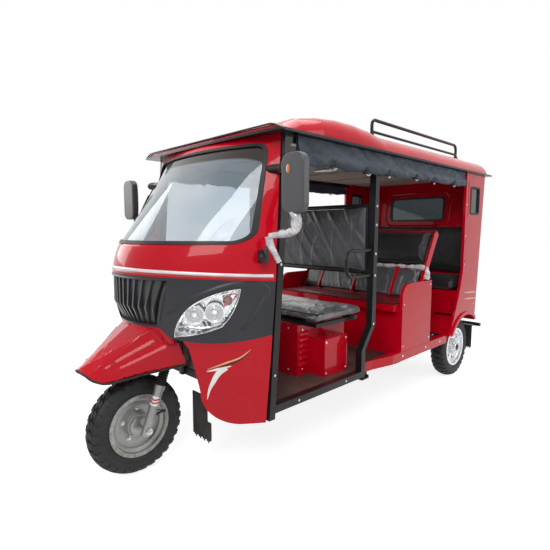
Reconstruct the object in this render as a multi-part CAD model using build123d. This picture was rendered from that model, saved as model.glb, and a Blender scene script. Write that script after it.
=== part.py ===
from build123d import *
import os
from math import sin, cos, radians, sqrt

# Passenger auto rickshaw: one steered front wheel, two driven rear wheels, open sides.
# Millimetres, +Z up, +X is the vehicle's left, the nose faces -Y.
# Every length along Y below is a station measured back from the front axle; the parts are
# shifted at the end so that the origin is on the ground under the middle of the vehicle.

# ---------------------------------------------------------------- driving dimensions
WHEELBASE = 2743
REAR_TRACK = 980
TYRE_RADIUS = 262
FRONT_TYRE_WIDTH = 112
REAR_TYRE_WIDTH = 118
BEAD_RADIUS = 152            # 12 inch rim seat
FLANGE_RADIUS = 167
FIT = 0.3                    # gap between pieces that seat on each other

BODY_HALF = 600              # outside of the cowl and of the side frames
FLOOR_TOP = 400
FLOOR_THICK = 14
RAIL_HEIGHT = 48
PANEL = 22                   # pressed steel wall with its stiffening folds
SHEET = 8                    # single folded sheet
POST = 45                    # black square side frame tube
POST_DEPTH = 40

HEADER_TOP = 1762            # underside of the roof edge, where posts and walls end
ROOF_EDGE_Z = HEADER_TOP + 13
ROOF_CROWN_Z = HEADER_TOP + 223
ROOF_HALF = 640
ROOF_FRONT = 460
ROOF_FULL = 1400             # here the roof's rise from the visor ends
ROOF_REAR = WHEELBASE + 337
GUTTER_REAR = WHEELBASE + 377
VISOR_FRONT = 430
SIDE_FRONT = WHEELBASE - 93  # front edge of the rear side walls

FRONT_TIP = -285             # nose of the front mudguard
BUMPER_Y = WHEELBASE + 382
BUMPER_RADIUS = 17
BUMPER_Z = 410
CENTRE_Y = (FRONT_TIP + BUMPER_Y + BUMPER_RADIUS) / 2

RAKE = 21                    # steering axis leans back by this many degrees
TRAIL_OFFSET = 40            # steering axis behind the fork legs
LEG_X = 118

parts = {}


def add(name, shape):
    parts[name] = shape


# ---------------------------------------------------------------- shape helpers
def box(x0, x1, y0, y1, z0, z1):
    centre = Pos((x0 + x1) / 2, (y0 + y1) / 2, (z0 + z1) / 2)
    return centre * Box(abs(x1 - x0), abs(y1 - y0), abs(z1 - z0))


def rod(start, end, radius):
    a, b = Vector(*start), Vector(*end)
    along = b - a
    stand = Plane(origin=a, z_dir=along.normalized())
    on_end = (Align.CENTER, Align.CENTER, Align.MIN)
    return stand.location * Cylinder(radius, along.length, align=on_end)


def disc_x(x0, x1, y, z, radius):
    return rod((x0, y, z), (x1, y, z), radius)


def bar(start, end, across, deep):
    """Square bar from start to end, `across` wide along X."""
    a, b = Vector(*start), Vector(*end)
    along = b - a
    foot = Plane(origin=a, x_dir=(1, 0, 0), z_dir=along.normalized())
    return extrude(foot * Rectangle(across, deep), along.length)


def bent_tube(points, radius, bend):
    path = FilletPolyline(*points, radius=bend)
    foot = Plane(origin=path @ 0, z_dir=path % 0)
    return sweep(foot * Circle(radius), path=path)


def prism_x(face, x0, x1):
    """Face drawn as (station, height), run from x0 to x1."""
    return extrude(Plane.YZ.offset(x0) * face, x1 - x0)


def prism_y(face, y0, y1):
    """Face drawn as (x, height), run from station y0 to y1."""
    return extrude(Plane(origin=(0, y1, 0), x_dir=(1, 0, 0), z_dir=(0, -1, 0)) * face, y1 - y0)


def poly(*points):
    return make_face(Polyline(*points, close=True))


def rounded(width, height, radius):
    return RectangleRounded(width, height, radius)


def both_sides(shape):
    return shape + mirror(shape, about=Plane.YZ)


def mirrored(shape):
    return mirror(shape, about=Plane.YZ)


# ---------------------------------------------------------------- bulged nose
# Plan curve at each height: a crown arc across the front and, tangent to it, one arc
# down each side to the front posts.
# columns: height, station of the crown, half width at the post, station of the post,
#          half width of the crown arc, angle of the crown arc's end
NOSE_SECTIONS = [
    (320, 30, 592, 400, 240, 32),
    (700, 30, 600, 433, 240, 32),
    (880, -38, 600, 449, 262, 34),
    (1050, -55, 600, 464, 270, 34),
    (1210, -15, 590, 478, 270, 34),
]
SCREEN_TOP = (HEADER_TOP + 8, 445, 570, 529, 270, 8)
SCREEN_FOOT_Z = 1210
SKIRT_TOP_Z = 700


def nose_face(section, inset=0.0):
    z, crown_y, side_x, side_y, crown_x, angle = section
    a = radians(angle)
    crown_y += inset
    crown_x -= inset * sin(a)
    side_x -= inset
    if inset > 0:
        side_y += 20
    radius = crown_x / sin(a)
    join_y = crown_y + radius * (1 - cos(a))
    left, right = (-crown_x, join_y), (crown_x, join_y)
    crown = ThreePointArc(left, (0, crown_y), right)
    side = TangentArc(right, (side_x, side_y), tangent=(cos(a), sin(a)))
    back = Line((side_x, side_y), (-side_x, side_y))
    other = mirror(side, about=Plane.YZ)
    return Plane.XY.offset(z) * make_face([crown, side, back, other])


def nose_solid(sections, inset=0.0, ruled=False):
    return loft([nose_face(s, inset) for s in sections], ruled=ruled)


def nose_shell(sections, outer, inner, ruled=False):
    return nose_solid(sections, outer, ruled) - nose_solid(sections, inner, ruled)


def crown_station(z):
    """Station of the nose's centre line at a height between two sections."""
    for low, high in zip(NOSE_SECTIONS, NOSE_SECTIONS[1:]):
        if low[0] <= z <= high[0]:
            t = (z - low[0]) / (high[0] - low[0])
            return low[1] + t * (high[1] - low[1])
    return NOSE_SECTIONS[-1][1]


def nose_station(x, z):
    """Station of the crown arc's surface at (x, z)."""
    radius = 270 / sin(radians(34))
    return crown_station(z) + radius - sqrt(radius * radius - x * x)


MASK_TOP_Z = 1072            # mask top edge at the nose
MASK_TILT = 3.4              # it falls towards the posts by this angle
MASK_FOOT_Z = 757            # lowest tips of the mask, beside the mudguard
MASK_FOOT_X = 245
MASK_SIDE_Z = 783
GRILLE_TOP_Z = 1050
GRILLE_FOOT_Z = 822
GRILLE_TOP_HALF = 292
GRILLE_FOOT_HALF = 205

upper_sections = NOSE_SECTIONS[1:]
lower_sections = NOSE_SECTIONS[:2]
screen_sections = [NOSE_SECTIONS[-1], SCREEN_TOP]

nose_skin = nose_shell(upper_sections, 0, PANEL)
above_mask = Pos(0, 0, 500) * Box(1400, 1400, 1000)
above_mask = Pos(0, -80, MASK_TOP_Z) * Rot(-MASK_TILT, 0, 0) * above_mask


def below_mask_curve(drop):
    """Region under the mask's bottom edge, lowered by drop."""
    start = (MASK_FOOT_X, MASK_FOOT_Z - drop)
    middle = (430, MASK_FOOT_Z - 22 - drop)
    end = (BODY_HALF + 20, MASK_SIDE_Z - drop)
    curve = ThreePointArc(start, middle, end)
    rest = Polyline(end, (BODY_HALF + 20, 200), (MASK_FOOT_X, 200), start)
    side = make_face([curve, rest])
    lip = poly(
        (-GRILLE_FOOT_HALF - 8, GRILLE_FOOT_Z - 12 - drop),
        (GRILLE_FOOT_HALF + 8, GRILLE_FOOT_Z - 12 - drop),
        (MASK_FOOT_X + 0.1, MASK_FOOT_Z - drop),
        (MASK_FOOT_X + 0.1, 200),
        (-MASK_FOOT_X - 0.1, 200),
        (-MASK_FOOT_X - 0.1, MASK_FOOT_Z - drop),
    )
    region = both_sides(prism_y(side, -300, 700))
    return region, prism_y(lip, -300, 700)


side_low, lip_low = below_mask_curve(0)
grille_hole = prism_y(
    poly(
        (-GRILLE_TOP_HALF, GRILLE_TOP_Z),
        (GRILLE_TOP_HALF, GRILLE_TOP_Z),
        (GRILLE_FOOT_HALF, GRILLE_FOOT_Z),
        (-GRILLE_FOOT_HALF, GRILLE_FOOT_Z),
    ),
    -300,
    300,
)

# headlamp outline on a plane square to the cowl's flank: (along the flank, height)
LAMP_CENTRE = (400, 150, 880)
LAMP_HEADING = 52
LAMP_TIP = (-131, -114)
LAMP_KNEE = (-23, 64)
LAMP_TAIL = (196, 130)
LAMP_HEEL = (104, -56)
LAMP_GLASS_PROUD = 9
LAMP_DEPTH = 70


def lamp_outline(grow=0.0):
    rise = ThreePointArc(LAMP_TIP, (-88, 2), LAMP_KNEE)
    brow = ThreePointArc(LAMP_KNEE, (78, 109), LAMP_TAIL)
    tail = ThreePointArc(LAMP_TAIL, (157, 16), LAMP_HEEL)
    chin = ThreePointArc(LAMP_HEEL, (20, -86), LAMP_TIP)
    face = make_face([rise, brow, tail, chin])
    return offset(face, grow) if grow else face


def lamp_prism(grow=0.0):
    h = radians(LAMP_HEADING)
    out = Plane(origin=LAMP_CENTRE, x_dir=(cos(h), sin(h), 0), z_dir=(sin(h), -cos(h), 0))
    return extrude(out * lamp_outline(grow), 160, both=True)


lamp_hole = lamp_prism(FIT)

mask = nose_skin - above_mask - side_low - lip_low - grille_hole
mask = mask - lamp_hole - mirrored(lamp_hole)
add("front_mask", mask)

red_band = nose_skin & (Pos(0, 0, FIT) * above_mask)

# windscreen surround, its opening, the seal and the glass
SCREEN_FOOT_HALF = 548
SCREEN_HEAD_HALF = 515
SCREEN_FOOT = 1222
SCREEN_HEAD = HEADER_TOP - 34
SCREEN_CORNER = 70
SEAL = 16


def screen_outline(shrink):
    face = poly(
        (-SCREEN_FOOT_HALF + shrink, SCREEN_FOOT + shrink),
        (SCREEN_FOOT_HALF - shrink, SCREEN_FOOT + shrink),
        (SCREEN_HEAD_HALF - shrink, SCREEN_HEAD - shrink),
        (-SCREEN_HEAD_HALF + shrink, SCREEN_HEAD - shrink),
    )
    return fillet(face.vertices(), SCREEN_CORNER - shrink)


def screen_prism(shrink):
    return prism_y(screen_outline(shrink), -300, 900)


screen_skin = nose_shell(screen_sections, 0, PANEL, ruled=True)
surround = screen_skin - screen_prism(0)
surround = surround & box(-700, 700, -300, 900, SCREEN_FOOT_Z, HEADER_TOP)
add("front_cowl", red_band + surround)

seal_skin = nose_shell(screen_sections, -5, PANEL - 4, ruled=True)
seal = seal_skin & (screen_prism(FIT) - screen_prism(SEAL))
glass_skin = nose_shell(screen_sections, 4, 9, ruled=True)
glass = glass_skin & screen_prism(SEAL + FIT)
add("windshield_glass", glass)

# ---------------------------------------------------------------- grille
SLATS = 11
SLAT_WIDTH = 13
grille_plate = nose_shell(upper_sections, PANEL + FIT, PANEL + 9) & prism_y(
    poly(
        (-GRILLE_TOP_HALF - 14, GRILLE_TOP_Z + 10),
        (GRILLE_TOP_HALF + 14, GRILLE_TOP_Z + 10),
        (GRILLE_FOOT_HALF + 14, GRILLE_FOOT_Z - 10),
        (-GRILLE_FOOT_HALF - 14, GRILLE_FOOT_Z - 10),
    ),
    -300,
    300,
)


def slat(share):
    """One chevron slat; share runs from -1 at one edge of the grille to 1 at the other."""
    # columns: height, share of the way from foot to top, how far the edge is set back
    knee = GRILLE_FOOT_Z + 90
    stations = [(GRILLE_FOOT_Z + 1, 0.0, 14), (knee, 0.4, -5), (GRILLE_TOP_Z - 1, 1.0, 12)]
    faces = []
    for z, t, back in stations:
        half = GRILLE_FOOT_HALF + t * (GRILLE_TOP_HALF - GRILLE_FOOT_HALF)
        x = share * half
        front = nose_station(x, z) + back
        rear = nose_station(x, z) + PANEL + 10
        spot = Plane.XY.offset(z) * Pos(x, (front + rear) / 2)
        faces.append(spot * Rectangle(SLAT_WIDTH, rear - front))
    return loft(faces, ruled=True)


grille = grille_plate
for i in range(SLATS):
    grille = grille + slat((i - (SLATS - 1) / 2) * 2 / (SLATS + 0.4))
add("grille", grille)

# ---------------------------------------------------------------- headlamps
lamp_body = nose_shell(upper_sections, -LAMP_GLASS_PROUD, LAMP_DEPTH) & lamp_prism()
add("headlamp_left", lamp_body)
add("headlamp_right", mirrored(lamp_body))

# ---------------------------------------------------------------- side skirts
SKIRT_FOOT_Z = 322
skirt_skin = nose_shell(lower_sections, 0, PANEL, ruled=True) + nose_skin
edge_top = ThreePointArc((MASK_FOOT_X + 6, 900), (318, 650), (352, 480))
edge_low = ThreePointArc((352, 480), (390, 375), (505, SKIRT_FOOT_Z))
skirt_rest = Polyline((505, SKIRT_FOOT_Z), (640, SKIRT_FOOT_Z + 12), (640, 900), (MASK_FOOT_X + 6, 900))
skirt_area = prism_y(make_face([edge_top, edge_low, skirt_rest]), -300, 700)
side_under, lip_under = below_mask_curve(FIT)
skirt = skirt_skin & skirt_area & side_under
add("side_skirt_left", skirt)
add("side_skirt_right", mirrored(skirt))

# ---------------------------------------------------------------- front mudguard
# columns: half width, station, height of each ridge line's front and rear end
MUDGUARD_THICK = 9
MUDGUARD_NOSE = [(0, FRONT_TIP, 622), (62, -272, 606), (108, -215, 566)]
MUDGUARD_TAIL = [(0, -20, 802), (150, 12, 790), (232, 130, 720)]
MUDGUARD_SIDE = [(232, 175, 600)]


def polyhedron(points, faces):
    made = [make_face(Polyline(*[points[i] for i in face], close=True)) for face in faces]
    return Solid(Shell(made))


def mudguard_solid(shift_y, shift_z, narrow, apex):
    def place(point, side):
        return (side * max(point[0] - narrow, 0), point[1] + shift_y, point[2] + shift_z)

    n0, n1, n2 = MUDGUARD_NOSE
    t0, t1, t2 = MUDGUARD_TAIL
    s0 = MUDGUARD_SIDE[0]
    top = [n0, n1, n2, t0, t1, t2, s0]
    points = [place(p, 1) for p in top] + [place(p, -1) for p in top]
    points += [apex]
    nose_mid, tail_mid, last = 0, 3, 2 * len(top)
    faces = []
    for k in (0, len(top)):
        nose_in, nose_out, tail_in, tail_out, side_low = 1 + k, 2 + k, 4 + k, 5 + k, 6 + k
        faces += [
            (nose_mid, nose_in, tail_in),
            (nose_mid, tail_in, tail_mid),
            (nose_in, nose_out, tail_out),
            (nose_in, tail_out, tail_in),
            (nose_out, side_low, tail_out),
        ]
        rim = [nose_mid, nose_in, nose_out, side_low, tail_out, tail_in, tail_mid]
        faces += [(a, b, last) for a, b in zip(rim, rim[1:])]
    return polyhedron(points, faces)


# the hood is open below and behind, so its hollow's apex lies beyond its own
hood = mudguard_solid(0, 0, 0, (0, 60, 560))
hood_inside = mudguard_solid(MUDGUARD_THICK, -MUDGUARD_THICK, MUDGUARD_THICK, (0, 260, 400))
apron = nose_skin & lip_under & box(-MASK_FOOT_X + 4, MASK_FOOT_X - 4, -300, 400, 722, 900)
add("front_mudguard", hood - hood_inside + apron)


# ---------------------------------------------------------------- side frames
POST_X = 553                 # inner face of the black posts; outer face is POST_X + POST
POST_OUT = POST_X + POST
SILL_TOP = FLOOR_TOP
SILL_FOOT = 360
A_POST_FOOT = (440, 330)
A_POST_HEAD = (552, HEADER_TOP)
B_POST_LINE = [(1240, 362), (1240, 535), (1344, 680), (1360, HEADER_TOP)]
HEADER_FOOT = HEADER_TOP - 44
HEADER_REAR = SIDE_FRONT - 10


def thick_line(points, half):
    """Outline of a post in side view, `half` to each side of its stations."""
    front = [(y - half, z) for y, z in points]
    rear = [(y + half, z) for y, z in reversed(points)]
    return poly(*front, *rear)


def side_frame():
    a_post = thick_line([A_POST_FOOT, A_POST_HEAD], POST_DEPTH / 2)
    b_post = thick_line(B_POST_LINE, POST_DEPTH / 2)
    y0, y1 = A_POST_FOOT[0], B_POST_LINE[0][0] + POST_DEPTH / 2
    sill = poly((y0, SILL_FOOT), (y1, SILL_FOOT), (y1, SILL_TOP), (y0, SILL_TOP))
    h0 = A_POST_HEAD[0] - POST_DEPTH / 2
    h1 = HEADER_REAR
    header = poly((h0, HEADER_FOOT), (h1, HEADER_FOOT), (h1, HEADER_TOP), (h0, HEADER_TOP))
    return prism_x(a_post + b_post + sill + header, POST_X, POST_OUT)


side_frame_left = side_frame()
add("side_frame_left", side_frame_left)
add("side_frame_right", mirrored(side_frame_left))

# ---------------------------------------------------------------- chassis
RAIL_X = REAR_TRACK / 2 - 190
RAIL_WIDE = 40
RAIL_TOP = FLOOR_TOP - FLOOR_THICK - FIT
RAIL_FOOT = RAIL_TOP - RAIL_HEIGHT
CROSS_STATIONS = [520, 860, 1330, WHEELBASE - 763, WHEELBASE - 483]
TAIL_CROSS = WHEELBASE + 147
CHASSIS_FRONT = 480
CHASSIS_REAR = WHEELBASE + 167


def on_axis(distance, x=0.0, offset_back=TRAIL_OFFSET):
    """Point a distance up the raked steering axis, or up a fork leg with offset_back=0."""
    a = radians(RAKE)
    y = distance * sin(a) + offset_back * cos(a)
    z = TYRE_RADIUS + distance * cos(a) - offset_back * sin(a)
    return (x, y, z)


HEAD_LOW = 395
HEAD_HIGH = 700
HEAD_OUT = 31
HEAD_BORE = 23
STEM_RADIUS = 18

chassis = box(RAIL_X, RAIL_X + RAIL_WIDE, CHASSIS_FRONT, CHASSIS_REAR, RAIL_FOOT, RAIL_TOP)
chassis = both_sides(chassis)
for y in CROSS_STATIONS:
    chassis = chassis + box(-POST_X + FIT, POST_X - FIT, y - 20, y + 20, RAIL_FOOT, RAIL_TOP)
rail_out = RAIL_X + RAIL_WIDE
chassis = chassis + box(-rail_out, rail_out, TAIL_CROSS - 20, TAIL_CROSS + 20, RAIL_FOOT, RAIL_TOP)
head_low, head_high = on_axis(HEAD_LOW), on_axis(HEAD_HIGH)
head_tube = rod(head_low, head_high, HEAD_OUT)
for side in (-1, 1):
    rail_end = (side * (RAIL_X + 20), CHASSIS_FRONT + 14, RAIL_TOP - 24)
    chassis = chassis + rod(rail_end, on_axis(HEAD_LOW + 160, side * 18), 19)
    chassis = chassis + rod(rail_end, on_axis(HEAD_HIGH - 25, side * 14), 14)
chassis = chassis + head_tube
chassis = chassis - rod(on_axis(HEAD_LOW - 60), on_axis(HEAD_HIGH + 60), HEAD_BORE)
BUMPER_BRACKET_X = RAIL_X + 30
for side in (-1, 1):
    x = side * BUMPER_BRACKET_X
    bumper_face = BUMPER_Y - BUMPER_RADIUS - FIT
    foot = RAIL_FOOT + 8
    chassis = chassis + box(x - 12, x + 12, TAIL_CROSS, bumper_face, foot, RAIL_TOP - 4)
    chassis = chassis + box(x - 12, x + 12, bumper_face - 14, bumper_face, foot, BUMPER_Z + BUMPER_RADIUS)
# spring hangers
SPRING_X = REAR_TRACK / 2 - 118
SPRING_HALF = 24
SPRING_FRONT = WHEELBASE - 430
SPRING_REAR = WHEELBASE + 137
EYE_Z = 345
EYE_RADIUS = 15
for side in (-1, 1):
    for y in (SPRING_FRONT, SPRING_REAR):
        x = side * (SPRING_X - 6)
        chassis = chassis + box(x - 32, x + 32, y - 22, y + 22, EYE_Z + EYE_RADIUS + FIT, RAIL_TOP)
add("chassis_frame", chassis)

# ---------------------------------------------------------------- floor and toe board
FLOOR_HALF = POST_X - FIT
FLOOR_FRONT = 505
FLOOR_REAR = WHEELBASE - 273
TOE_TOP = (448, 745)
floor_side = poly(
    (FLOOR_FRONT, FLOOR_TOP - FLOOR_THICK),
    (FLOOR_REAR, FLOOR_TOP - FLOOR_THICK),
    (FLOOR_REAR, FLOOR_TOP),
    (FLOOR_FRONT + FLOOR_THICK, FLOOR_TOP),
    (TOE_TOP[0] + FLOOR_THICK, TOE_TOP[1]),
    TOE_TOP,
)
floor = prism_x(floor_side, -FLOOR_HALF, FLOOR_HALF)
TOE_HALF = 530
ENGINE_HALF = 170
ENGINE_FRONT = CROSS_STATIONS[1] + 20 + FIT
ENGINE_REAR = CROSS_STATIONS[2] - 20 - FIT
ENGINE_FOOT = 290
ENGINE_TOP = 640
HOLE = 6
engine_hole = ENGINE_HALF + HOLE
floor = floor - box(-engine_hole, engine_hole, ENGINE_FRONT, ENGINE_REAR, 350, 450)
floor = floor - both_sides(box(TOE_HALF, 620, 300, FLOOR_FRONT + 40, FLOOR_TOP + 2, 800))
add("floor_pan", floor)

# red sill channel under the rear floor, from the B post back to the wheel
SILL_OUT = 604
SILL_REAR = WHEELBASE - 319
sill_top_view = poly(
    (POST_X + 2, 1285),
    (POST_X + 12, 1400),
    (SILL_OUT, 1590),
    (SILL_OUT, SILL_REAR),
    (FLOOR_HALF + FIT, SILL_REAR),
    (FLOOR_HALF + FIT, 1285),
)
SILL_LIP = 430
red_sill = extrude(Plane.XY.offset(SILL_FOOT + 6) * sill_top_view, SILL_LIP - SILL_FOOT - 6)
add("rear_sills", both_sides(red_sill))


# ---------------------------------------------------------------- engine and driveline
engine = box(-ENGINE_HALF, ENGINE_HALF, ENGINE_FRONT, ENGINE_REAR, ENGINE_FOOT, ENGINE_TOP)
add("engine_block", engine)

AXLE_Z = TYRE_RADIUS
WHEEL_X = REAR_TRACK / 2
AXLE_TUBE = 32
HUB_BORE = 17.5
STUB_RADIUS = 17
BACKPLATE_X = WHEEL_X - 88
DIFF_RADIUS = 92
REAR_HUB_OUT = 62            # hub face beyond the wheel's middle plane
axle = disc_x(-BACKPLATE_X, BACKPLATE_X, WHEELBASE, AXLE_Z, AXLE_TUBE)
axle = axle + Pos(0, WHEELBASE, AXLE_Z) * Sphere(DIFF_RADIUS)
axle = axle + rod((0, WHEELBASE - 150, AXLE_Z + 8), (0, WHEELBASE - 60, AXLE_Z + 4), 42)
for side in (-1, 1):
    axle = axle + disc_x(side * BACKPLATE_X - 5, side * BACKPLATE_X + 5, WHEELBASE, AXLE_Z, 98)
    stub = sorted((side * BACKPLATE_X, side * (WHEEL_X + REAR_HUB_OUT + 10)))
    axle = axle + disc_x(stub[0], stub[1], WHEELBASE, AXLE_Z, STUB_RADIUS)
    nut = sorted((side * (WHEEL_X + REAR_HUB_OUT + 1), side * (WHEEL_X + REAR_HUB_OUT + 14)))
    axle = axle + disc_x(nut[0], nut[1], WHEELBASE, AXLE_Z, 24)
    spring_at = Pos(side * SPRING_X, WHEELBASE, AXLE_Z + 28)
    axle = axle + spring_at * Box(60, 90, 16)
add("rear_axle", axle)

SHAFT_RADIUS = 24
shaft = rod((0, ENGINE_REAR + 1, 308), (0, WHEELBASE - 151, AXLE_Z + 8), SHAFT_RADIUS)
add("drive_shaft", shaft)

# leaf springs: each leaf below the top one is shorter; they bear on the axle pad
LEAF = 7
LEAVES = 5
PAD_TOP = AXLE_Z + 36


def leaf(level):
    """Side view of one leaf; level 0 is the longest, on top, between the two eyes."""
    share = 1 - 0.17 * level
    middle = PAD_TOP + FIT + (LEAVES - 1 - level) * LEAF
    rise = (EYE_Z - LEAF / 2 - PAD_TOP - (LEAVES - 1) * LEAF) * share * share
    front = WHEELBASE - (WHEELBASE - SPRING_FRONT) * share
    rear = WHEELBASE + (SPRING_REAR - WHEELBASE) * share
    rear_rise = rise * 0.6
    half_way = ((front + WHEELBASE) / 2, middle + rise * 0.3)
    low = ThreePointArc((front, middle + rise), half_way, (WHEELBASE, middle))
    half_way = ((rear + WHEELBASE) / 2, middle + rear_rise * 0.3)
    low_rear = ThreePointArc((WHEELBASE, middle), half_way, (rear, middle + rear_rise))
    lift = Pos(0, LEAF + 0.3)
    high, high_rear = lift * low, lift * low_rear
    ends = [Line(low @ 0, high @ 0), Line(low_rear @ 1, high_rear @ 1)]
    return prism_x(make_face([low, low_rear, high, high_rear, *ends]), -SPRING_HALF, SPRING_HALF)


spring = leaf(0)
for level in range(1, LEAVES):
    spring = spring + leaf(level)
spring = spring + disc_x(-SPRING_HALF, SPRING_HALF, SPRING_FRONT, EYE_Z, EYE_RADIUS)
spring = spring + disc_x(-SPRING_HALF, SPRING_HALF, SPRING_REAR, EYE_Z, EYE_RADIUS)
spring = Pos(SPRING_X, 0, 0) * spring
add("leaf_springs", spring + mirrored(spring))

# ---------------------------------------------------------------- driver's seat
SEAT_BOX_HALF = 375
SEAT_BOX_FRONT = 865
SEAT_BOX_REAR = 1330
SEAT_BOX_TOP = 715
LOUVRES = 6
LOUVRE_PITCH = 38
LOUVRE_HIGH = 13
LOUVRE_FOOT = 460
seat_box = box(-SEAT_BOX_HALF, SEAT_BOX_HALF, SEAT_BOX_FRONT, SEAT_BOX_REAR, FLOOR_TOP + FIT, SEAT_BOX_TOP)
inside = SEAT_BOX_HALF - SHEET
hollow = (SEAT_BOX_FRONT + SHEET, SEAT_BOX_REAR - SHEET, 300, SEAT_BOX_TOP - SHEET)
seat_box = seat_box - box(-inside, inside, *hollow)
SIDE_BOX_OUT = 500
SIDE_BOX_FRONT = 975
SIDE_BOX_REAR = 1200
SIDE_BOX_TOP = 632
side_box = box(SEAT_BOX_HALF - 1, SIDE_BOX_OUT, SIDE_BOX_FRONT, SIDE_BOX_REAR, FLOOR_TOP + FIT, SIDE_BOX_TOP)
seat_box = seat_box + both_sides(side_box)
for i in range(LOUVRES):
    z = LOUVRE_FOOT + i * LOUVRE_PITCH
    seat_box = seat_box - box(-600, 600, SEAT_BOX_FRONT + 24, SIDE_BOX_FRONT - 14, z, z + LOUVRE_HIGH)
add("driver_seat_box", seat_box)

DRIVER_SEAT_FRONT = 890
DRIVER_SEAT_REAR = 1325
DRIVER_SEAT_HALF = 505
SEAT_RAIL = 22
DRIVER_SEAT_FOOT = SEAT_BOX_TOP + SEAT_RAIL + 2 * FIT
DRIVER_SEAT_TOP = 812


def seat_ring(margin):
    """Block as wide and long as the seat less `margin` all round."""
    half = DRIVER_SEAT_HALF - margin
    foot = SEAT_BOX_TOP + FIT
    return box(-half, half, DRIVER_SEAT_FRONT + margin, DRIVER_SEAT_REAR - margin, foot, foot + SEAT_RAIL)


seat_rails = seat_ring(12) - seat_ring(40)
seat_rails = seat_rails + (seat_ring(12) & both_sides(box(330, 370, 800, 1400, 600, 900)))
add("driver_seat_frame", seat_rails)


def cushion(x0, x1, y0, y1, z0, z1, radius):
    return fillet(box(x0, x1, y0, y1, z0, z1).edges(), radius)


seat_sides = (-DRIVER_SEAT_HALF, DRIVER_SEAT_HALF, DRIVER_SEAT_FRONT, DRIVER_SEAT_REAR)
add("driver_seat", cushion(*seat_sides, DRIVER_SEAT_FOOT, DRIVER_SEAT_TOP, 22))

BACK_BAR = 14
BACK_LOW_Z = 1020
BACK_HIGH_Z = 1444
BACK_Y = 1353
backrest_bars = None
for z in (BACK_LOW_Z, BACK_HIGH_Z):
    one = rod((-POST_X + FIT, BACK_Y, z), (POST_X - FIT, BACK_Y, z), BACK_BAR)
    backrest_bars = one if backrest_bars is None else backrest_bars + one
for x in (-530, 530):
    backrest_bars = backrest_bars + rod((x, BACK_Y, BACK_LOW_Z), (x, BACK_Y, BACK_HIGH_Z), BACK_BAR - 2)
add("driver_backrest_frame", backrest_bars)
gap = BACK_BAR + FIT
add("driver_backrest", cushion(-514, 514, BACK_Y - 26, BACK_Y + 26, BACK_LOW_Z + gap, BACK_HIGH_Z - gap, 20))

# grab handles, bent tube loops standing off the B posts
GRAB_X = 576
GRAB_TOP = 1164
GRAB_FOOT = 1004
GRAB_FRONT = 1075
GRAB_RADIUS = 11
GRAB_BEND = 0.375 * (GRAB_TOP - GRAB_FOOT)


def b_post_station(z):
    (y0, z0), (y1, z1) = B_POST_LINE[2], B_POST_LINE[3]
    return y0 + (z - z0) * (y1 - y0) / (z1 - z0)


post_face = b_post_station(GRAB_FOOT) - POST_DEPTH / 2 - FIT
grab_points = [
    (GRAB_X, post_face + 2, GRAB_TOP),
    (GRAB_X, GRAB_FRONT, GRAB_TOP),
    (GRAB_X, GRAB_FRONT, GRAB_FOOT),
    (GRAB_X, post_face, GRAB_FOOT),
]
grab = bent_tube(grab_points, GRAB_RADIUS, GRAB_BEND)
add("grab_handles", grab + mirrored(grab))

# ---------------------------------------------------------------- middle bench
BENCH_FRONT = 1640
BENCH_TOP = 768
BENCH_BAND = 45
BENCH_SIDE_FRONT = 1700
BENCH_SIDE_REAR = 2130
BENCH_SIDE_TOP = 912
BENCH_SIDE_IN = 578
BENCH_SIDE_OUT = 602
RECLINE_FOOT = (1962, 772)
RECLINE_HEAD = (2236, 1262)
side_panel = make_face([
    *Polyline(
        (BENCH_SIDE_FRONT, SILL_LIP),
        (BENCH_SIDE_REAR, SILL_LIP),
        (BENCH_SIDE_REAR, BENCH_SIDE_TOP),
        (BENCH_SIDE_FRONT + 90, BENCH_SIDE_TOP),
    ).edges(),
    ThreePointArc(
        (BENCH_SIDE_FRONT + 90, BENCH_SIDE_TOP),
        (BENCH_SIDE_FRONT + 24, BENCH_SIDE_TOP - 32),
        (BENCH_SIDE_FRONT, BENCH_SIDE_TOP - 100),
    ),
    Line((BENCH_SIDE_FRONT, BENCH_SIDE_TOP - 100), (BENCH_SIDE_FRONT, SILL_LIP)),
])
SIDE_FOOT = SILL_LIP + FIT
panel_solid = prism_x(side_panel, BENCH_SIDE_IN, BENCH_SIDE_OUT) & box(500, 700, 1600, 2300, SIDE_FOOT, 1000)
bench = both_sides(panel_solid)
inner = BENCH_SIDE_IN + 1
DECK_THICK = 12
deck_foot = BENCH_TOP - BENCH_BAND
deck_rear = RECLINE_FOOT[0] - 16
bench = bench + box(-inner, inner, BENCH_FRONT + 60, BENCH_FRONT + 60 + SHEET, FLOOR_TOP + FIT, deck_foot + 6)
deck = box(-inner, inner, BENCH_SIDE_FRONT + 4, deck_rear, deck_foot, deck_foot + DECK_THICK)
band = BENCH_SIDE_IN - 8
deck = deck + box(-band, band, BENCH_FRONT, BENCH_SIDE_FRONT + 10, deck_foot, BENCH_TOP)
tray = BENCH_SIDE_IN - 30
tray_front, tray_rear = BENCH_FRONT + 30, BENCH_SIDE_FRONT + 20
deck = deck - box(-tray, tray, tray_front, tray_rear, deck_foot + DECK_THICK, BENCH_TOP + 10)
bench = bench + deck
bench = bench + box(-inner, inner, deck_rear - SHEET, deck_rear, FLOOR_TOP + FIT, deck_foot + 6)
ledge = BENCH_SIDE_IN
bench = bench + box(-ledge, ledge, deck_rear - 8, deck_rear + 30, deck_foot, deck_foot + DECK_THICK)
bench = bench - both_sides(box(POST_X - 2, 620, 1600, 2300, 350, SILL_LIP + FIT))
add("middle_bench", bench)
pad_front, pad_rear = BENCH_FRONT + 32, RECLINE_FOOT[0] - 20
add("middle_seat", cushion(-540, 540, pad_front, pad_rear, deck_foot + DECK_THICK + 0.5, BENCH_TOP + 14, 14))


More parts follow.
